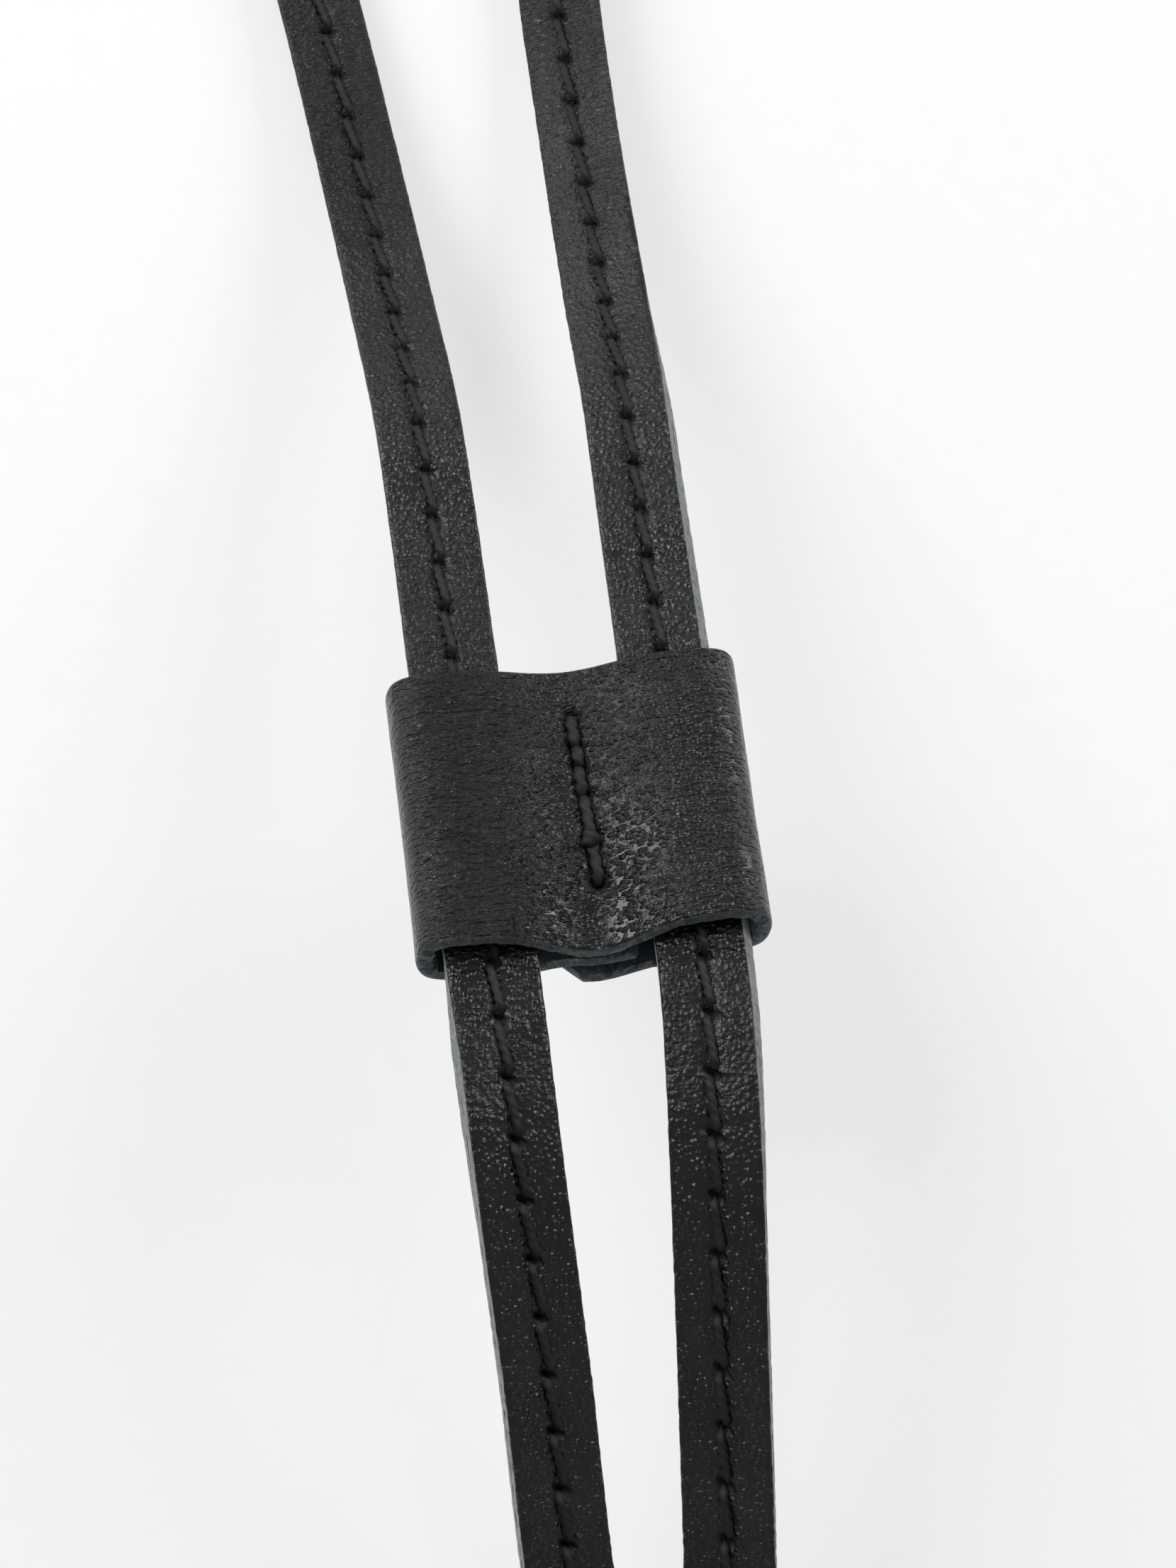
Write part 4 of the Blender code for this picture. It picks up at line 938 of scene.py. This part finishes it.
def build_lining(spots, outward, run):
    width = spots[:, 2:3]
    low = [(-1.0, 0.12), (-0.997, 0.03), (-0.985, 0.0), (-0.5, 0.0), (0.0, 0.0), (0.5, 0.0),
           (0.985, 0.0), (0.997, 0.03), (1.0, 0.12)]
    top = [(1.0, 1.08), (0.996, 1.18), (0.985, 1.2), (0.5, 1.2), (0.0, 1.2), (-0.5, 1.2),
           (-0.985, 1.2), (-0.996, 1.18), (-1.0, 1.08)]
    outline = np.array(low + [(1.0, 0.6)] + top + [(-1.0, 0.6)])
    reach = outline[None, :, 0] * width
    rough = 0.06 * noise_2d(np.repeat(run[:, None], len(outline), 1), reach, 0.9, 5.0, 41)
    reach = reach + rough * (np.abs(outline[None, :, 0]) > 0.98)
    rows, count = reach.shape
    verts = yoke_points(spots, outward, reach, np.repeat(outline[None, :, 1], rows, 0))
    runs = np.repeat(run[:, None], count, 1)
    coordinates = np.stack([reach, runs, np.repeat(outline[None, :, 1], rows, 0)], -1).reshape(-1, 3)
    lining = make_object("yoke_lining_suede", place(verts.reshape(-1, 3)), closed_faces(rows, count),
                         [LINING], coordinates=coordinates)
    stand_for(lining, "strap", "yoke_lining")


def build_padding():
    """The foam inside the cover keeps its CAD shape and gets an open-cell surface, with painted shade in
    its cell hollows.
    """
    n = Nodes("foam_cells")
    where = n.add("TexCoord").outputs["Object"]
    cells = n.add("TexVoronoi", Vector=where, Scale=1800.0).outputs["Distance"]
    # Painted shade: the cell hollows, low in the bump, are darker than the cell walls.
    n.surface(Base_Color=n.blend(cells, (0.05, 0.05, 0.05, 1.0), (0.14, 0.14, 0.14, 1.0)),
              Roughness=0.95, Normal=n.bump(cells, 0.2 * MM))
    paint("yoke_padding", n.material)


def build_yoke_stitches():
    spots, outward, run = yoke_stations(0.3)
    holes = np.arange(YOKE_PITCH * 5, run[-1] - YOKE_PITCH * 5, YOKE_PITCH)
    share = np.linspace(0.0, 1.0, 11)
    dive = np.clip(np.minimum(share, 1.0 - share) / 0.22, 0.0, 1.0)
    lift = 2 * YOKE_LEATHER + 0.18 - 0.7 * (1 - ease(dive))
    for name, side in (("inner", -1.0), ("outer", 1.0)):
        lines = []
        for start in holes[:-1]:
            at = start + YOKE_PITCH * (0.04 + 0.92 * share)
            spot = along(spots, run, at)
            out = along(outward, run, at)
            reach = (spot[:, 2] - STITCH_INSET) * side + 0.16 * (share - 0.5)
            x = YOKE_X + spot[:, 0] + out[:, 0] * reach
            y = spot[:, 1] + out[:, 1] * reach
            lines.append(place(np.stack([x, y, lift], 1)))
        strands = tubes(lines, YOKE_THREAD * MM, sides=8, twist=2.0 * MM)
        thread_piece(f"yoke_{name}_stitching", strands, "strap", f"yoke_{name}_thread")


def paint(node, material):
    """Give a CAD node that stays its own finished material."""
    mesh_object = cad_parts[node]
    if not mesh_object.material_slots:
        mesh_object.data.materials.append(material)
    for slot in mesh_object.material_slots:
        slot.material = material


build_yoke()

# ---- hardware ------------------------------------------------------------------------
WIRE = 1.5
RING_HALF, RING_CORNER, RING_SIDE = 13.5, 3.0, 3.5
HOOK_DROP = math.radians(5.0)
EYE_WIRE, EYE_RADIUS, EYE_LIFT = 1.2, 4.8, 1.8
SHANK, HEAD, HEAD_TOP, HEAD_BOTTOM = 1.5, 2.9, 12.8, 14.4
COLLAR, COLLAR_TOP, COLLAR_BOTTOM, COLLAR_BORE = 4.3, 7.5, 12.5, 1.8
HOOK_WIRE, HOOK_SIDE = 2.0, 9.0
BEND_CENTRE, BEND_RADIUS, NOSE_END = (1.5, 28.0), 7.5, 25.8
PIN_X, PIN_AT, PIN_RADIUS = -6.2, 11.0, 0.75
EAR_OUTER, EAR_INNER, SLOT_DEPTH = 3.0, 1.8, 2.7
KNUCKLE, GATE_HALF_WIDTH = 1.8, 1.5
SPRING_WIRE, SPRING_RADIUS, SPRING_TURNS = 0.2, 1.4, 1.5
SPRING_LOW, SPRING_HIGH = 0.7, 1.4
GATE_GAP = 0.3                # between the gate and the hook's nose
SPRING_POINTS = 70
RIVET_HEAD, RIVET_SHANK = 3.3, 1.4
DOME_BASE, DOME_RISE = 0.35, 1.3
POST_GAP = 0.3
POST_BOTTOM = {"yoke": -3.0, "ring": -3.15}   # the leather's underside at each rivet


def ring_bar():
    """The height and place of the ring's bar in the straps' lower loops."""
    (_, y1, z1, _), (_, y2, z2, _) = LEFT_ROUTE[-2:]
    slope = math.atan2(z1 - z2, y1 - y2)
    return (y2 - BAR_LEAD * math.cos(slope) + BAR_BELOW * math.sin(slope),
            z2 - BAR_LEAD * math.sin(slope) - BAR_BELOW * math.cos(slope))


def arc(centre, radius, start, end, step=4.0):
    angles = np.radians(np.linspace(start, end, int(abs(end - start) / step) + 1))
    return np.stack([centre[0] + radius * np.cos(angles), centre[1] + radius * np.sin(angles)], 1)


def grid_faces(rows, columns, closed):
    """Quads over a wire or a turned piece, which closes on itself or has two ends."""
    return ring_faces(rows, columns, True).tolist() if closed else closed_faces(rows, columns)


def sweep(line, radius, normal, sides=22, closed=False):
    """A round wire along a line that lies square to the normal."""
    line = np.asarray(line, float)
    ahead = np.roll(line, -1, 0) - np.roll(line, 1, 0) if closed else np.gradient(line, axis=0)
    tangent = unit(ahead)
    normal = np.asarray(normal, float)
    side = unit(np.cross(tangent, normal))
    top = np.cross(side, tangent)
    angle = np.linspace(0, 2 * np.pi, sides, endpoint=False)
    reach = np.broadcast_to(radius, len(line))[:, None]
    ring = (line[:, None] + side[:, None] * (reach * np.cos(angle))[..., None]
            + top[:, None] * (reach * np.sin(angle))[..., None])
    return ring.reshape(-1, 3), grid_faces(len(line), sides, closed)


def lathe(profile, closed=False, steps=56):
    """A turned piece about Z. A profile that isn't closed starts and ends on the axis."""
    profile = np.asarray(profile, float)
    if not closed:
        profile = profile[1:-1]
    angle = np.linspace(0, 2 * np.pi, steps, endpoint=False)
    verts = np.stack([profile[:, :1] * np.cos(angle), profile[:, :1] * np.sin(angle),
                      np.repeat(profile[:, 1:], steps, 1)], -1)
    return verts.reshape(-1, 3), grid_faces(len(profile), steps, closed)


def plate(outline, low, high, bevel=0.28):
    """A flat piece cut to an outline, with its edges rounded over."""
    outline = np.asarray(outline, float)
    ahead = unit(np.roll(outline, -1, 0) - outline)
    behind = unit(outline - np.roll(outline, 1, 0))
    outward = unit(np.stack([ahead[:, 1] + behind[:, 1], -ahead[:, 0] - behind[:, 0]], 1))
    turn = np.sum(ahead[:, 0] * behind[:, 1] - ahead[:, 1] * behind[:, 0])
    outward = outward * (1.0 if turn < 0 else -1.0)
    rows = []
    for share, height in ((1.0, low), (0.3, low + 0.3 * bevel), (0.0, low + bevel),
                          (0.0, high - bevel), (0.3, high - 0.3 * bevel), (1.0, high)):
        ring = outline - outward * bevel * share
        rows.append(np.column_stack([ring, np.full(len(ring), height)]))
    return np.vstack(rows), closed_faces(len(rows), len(outline))


def rounded(points, radius=0.5, steps=4):
    """A closed outline with its corners cut to short curves."""
    points = np.asarray(points, float)
    made = []
    for before, here, after in zip(np.roll(points, 1, 0), points, np.roll(points, -1, 0)):
        reach = min(radius, np.linalg.norm(before - here) * 0.45, np.linalg.norm(after - here) * 0.45)
        start = here + unit(before - here) * reach
        end = here + unit(after - here) * reach
        for t in np.linspace(0, 1, steps):
            made.append((1 - t) ** 2 * start + 2 * t * (1 - t) * here + t ** 2 * end)
    return np.array(made)


def hardware(name, shapes, matrix, material, body, node):
    """One metal piece, from shapes in millimetres in its own frame."""
    verts, faces = [], []
    for shape_verts, shape_faces in shapes:
        offset = sum(len(v) for v in verts)
        verts.append(shape_verts)
        faces += [[k + offset for k in face] for face in shape_faces]
    scaled = matrix @ Matrix.Scale(MM, 4)
    points = [scaled @ Vector(v) for v in np.vstack(verts)]
    made = make_object(name, points, faces, [material], sharp=38.0)
    stand_for(made, body, node)


def frame_on_hook(*shift):
    """The hook's frame: X across it, Y out of its plane and Z up towards the ring."""
    bar_y, bar_z = ring_bar()
    spin = Matrix(((1, 0, 0), (0, 0, 1), (0, 1, 0))).to_4x4()
    mirror = Matrix.Diagonal((-1.0, 1.0, 1.0, 1.0))
    bow = Vector(place((0.0, bar_y - RING_SIDE - RING_HALF, bar_z)))
    return (Matrix.Translation(bow) @ Matrix.Rotation(HOOK_DROP, 4, "X") @ spin @ mirror
            @ Matrix.Translation(Vector(shift) * MM))


def build_ring():
    bar_y, bar_z = ring_bar()
    corner = RING_HALF - RING_CORNER
    outline = np.vstack([arc((corner, bar_y - RING_CORNER), RING_CORNER, 90, 0, 10),
                         arc((0.0, bar_y - RING_SIDE), RING_HALF, 0, -180),
                         arc((-corner, bar_y - RING_CORNER), RING_CORNER, 180, 90, 10)])
    line = np.column_stack([outline, np.full(len(outline), bar_z)])
    hardware("d_ring_wire", [sweep(line - ORIGIN, WIRE, (0, 0, 1), closed=True)],
             Matrix.Identity(4), NICKEL, "ring", "d_ring")


def build_eye():
    angle = np.linspace(0, 2 * np.pi, 72, endpoint=False)
    loop = np.stack([0 * angle, EYE_RADIUS * np.cos(angle), -EYE_RADIUS * np.sin(angle)], 1)
    top = -(EYE_RADIUS - 0.4)
    neck = [(SHANK + 0.7, top), (SHANK + 0.25, top - 0.5), (SHANK, top - 1.1), (SHANK, -HEAD_TOP)]
    dome = [(HEAD * math.cos(a), -HEAD_BOTTOM + 0.75 - 0.75 * math.sin(a))
            for a in np.radians(np.arange(0, 90, 12))]
    head = [(HEAD - 0.25, -HEAD_TOP), (HEAD, -HEAD_TOP - 0.2)] + dome
    shank = lathe([(0.0, top)] + neck + head + [(0.0, -HEAD_BOTTOM)])
    hardware("swivel_eye_forging", [sweep(loop, EYE_WIRE, (1, 0, 0), closed=True), shank],
             frame_on_hook(0.0, EYE_LIFT, 0.0), NICKEL, "eye", "swivel_eye")


def build_hook():
    neck = catmull([(2.6, 9.4, 0), (5.6, 12.5, 0), (7.9, 16.4, 0), (HOOK_SIDE, 21.0, 0),
                    (HOOK_SIDE, 26.0, 0)], 8)[:, :2]
    nose_x = BEND_CENTRE[0] - BEND_RADIUS
    cap = np.radians(np.arange(0, 90, 12))
    nose = [(nose_x, NOSE_END + 0.9 * (1 - math.sin(a))) for a in cap] + [(nose_x, NOSE_END)]
    outline = np.vstack([neck, arc(BEND_CENTRE, BEND_RADIUS, 0, 180), nose])
    radius = np.full(len(outline), HOOK_WIRE)
    radius[-len(nose):] = HOOK_WIRE * np.append(np.cos(cap), 0.12)
    line = np.stack([outline[:, 0], 0 * radius, -outline[:, 1]], 1)
    collar = [(COLLAR_BORE, -COLLAR_TOP), (COLLAR - 0.7, -COLLAR_TOP), (COLLAR - 0.25, -COLLAR_TOP - 0.2),
              (COLLAR, -COLLAR_TOP - 0.7), (COLLAR, -COLLAR_BOTTOM + 0.7),
              (COLLAR - 0.25, -COLLAR_BOTTOM + 0.2), (COLLAR - 0.7, -COLLAR_BOTTOM),
              (COLLAR_BORE, -COLLAR_BOTTOM)]
    ear = rounded([(-2.9, -COLLAR_BOTTOM + 0.25), (PIN_X - 2.0, -COLLAR_BOTTOM + 0.25),
                   (PIN_X - 2.0, -COLLAR_TOP - 0.9), (-2.9, -COLLAR_TOP - 0.9)], 1.5, 7)
    barrel, barrel_faces = lathe(collar, closed=True)
    in_slot = (np.abs(barrel[:, 1]) < EAR_INNER) & (barrel[:, 0] < PIN_X + SLOT_DEPTH)
    barrel[in_slot, 0] = PIN_X + SLOT_DEPTH
    shapes = [sweep(line, radius, (0, 1, 0)), (barrel, barrel_faces)]
    for low, high in ((-EAR_OUTER, -EAR_INNER), (EAR_INNER, EAR_OUTER)):
        verts, faces = plate(ear, low, high, 0.22)
        shapes.append((verts[:, [0, 2, 1]], faces))
    hardware("hook_casting", shapes, frame_on_hook(0.0, EYE_LIFT, 0.0), NICKEL, "hook", "hook_body")


def build_gate():
    """The gate with its pin and spring, in a frame whose Z is the pin."""
    turn = Matrix(((1, 0, 0), (0, 0, 1), (0, -1, 0))).to_4x4()
    matrix = frame_on_hook(PIN_X, EYE_LIFT, -PIN_AT) @ turn
    nose = BEND_CENTRE[0] - BEND_RADIUS - PIN_X
    tip = NOSE_END - GATE_GAP - PIN_AT
    lip = nose + HOOK_WIRE
    knuckle = arc((0.0, 0.0), KNUCKLE, -40, -220, 15)
    arm = rounded([(nose - 1.2, tip - 3.0), (nose - 0.9, tip), (lip + GATE_GAP, tip),
                   (lip + GATE_GAP, tip + 2.4), (lip + 1.2, tip + 2.2), (lip + 1.2, tip - 2.0),
                   (nose + 1.6, tip - 4.0)], 0.4)
    outline = np.vstack([knuckle, arm])
    hardware("gate_lever", [plate(outline, -GATE_HALF_WIDTH, GATE_HALF_WIDTH, 0.3)], matrix, NICKEL,
             "gate", "gate")
    rim = EAR_OUTER + 0.8
    half = [(0.0, rim), (0.6, rim - 0.06), (1.1, rim - 0.25), (1.3, rim - 0.6), (PIN_RADIUS, rim - 0.6)]
    pin = half + [(r, -z) for r, z in reversed(half)]
    hardware("gate_pin_rivet", [lathe(pin, steps=32)], matrix, STEEL, "hook", "gate_pin")
    angle = np.linspace(0, 2 * np.pi * SPRING_TURNS, SPRING_POINTS)
    coil = np.stack([SPRING_RADIUS * np.cos(angle), SPRING_RADIUS * np.sin(angle),
                     np.linspace(SPRING_LOW, SPRING_HIGH, SPRING_POINTS)], 1)
    hardware("gate_spring_coil", [sweep(coil, SPRING_WIRE, (0, 0, 1), 12)], matrix, STEEL, "hook",
             "gate_spring")


def build_rivets(side, path):
    """Domed caps and their posts, set where the CAD rivets are."""
    points, _, across, face = path
    for where in ("yoke", "ring"):
        name = f"{side}_{where}_rivet"
        low, high = (np.array(corner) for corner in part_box(name + "_cap"))
        centre = (low + high) / 2 / MM + ORIGIN
        gaps = np.linalg.norm((points - centre)[:, :2], axis=1)
        k = int(gaps.argmin())
        axes = Matrix((across[k], np.cross(face[k], across[k]), face[k])).transposed().to_4x4()
        middle = centre - face[k] * ((centre - points[k]) @ face[k])
        matrix = Matrix.Translation(Vector(place(middle))) @ axes
        top = STRAP_HALF_DEPTH
        dome = [(RIVET_HEAD * math.cos(a), top + DOME_BASE + DOME_RISE * math.sin(a))
                for a in np.radians(np.arange(0, 90, 9))]
        cap = [(0.0, top + 0.01), (RIVET_HEAD - 0.25, top + 0.01), (RIVET_HEAD, top + 0.2)] + dome
        cap.append((0.0, top + DOME_BASE + DOME_RISE))
        hardware(name + "_dome", [lathe(cap)], matrix, NICKEL, "strap", name + "_cap")
        flange = POST_BOTTOM[where] - POST_GAP
        post = [(0.0, top), (RIVET_SHANK, top), (RIVET_SHANK, flange), (RIVET_HEAD - 0.2, flange),
                (RIVET_HEAD, flange - 0.2), (RIVET_HEAD - 0.3, flange - 0.5), (0.0, flange - 0.7)]
        hardware(name + "_stem", [lathe(post)], matrix, NICKEL, "strap", name + "_post")


build_ring()
build_eye()
build_hook()
build_gate()
build_rivets("left", strap_path(LEFT_ROUTE, -1))
build_rivets("right", strap_path(RIGHT_ROUTE, 1))
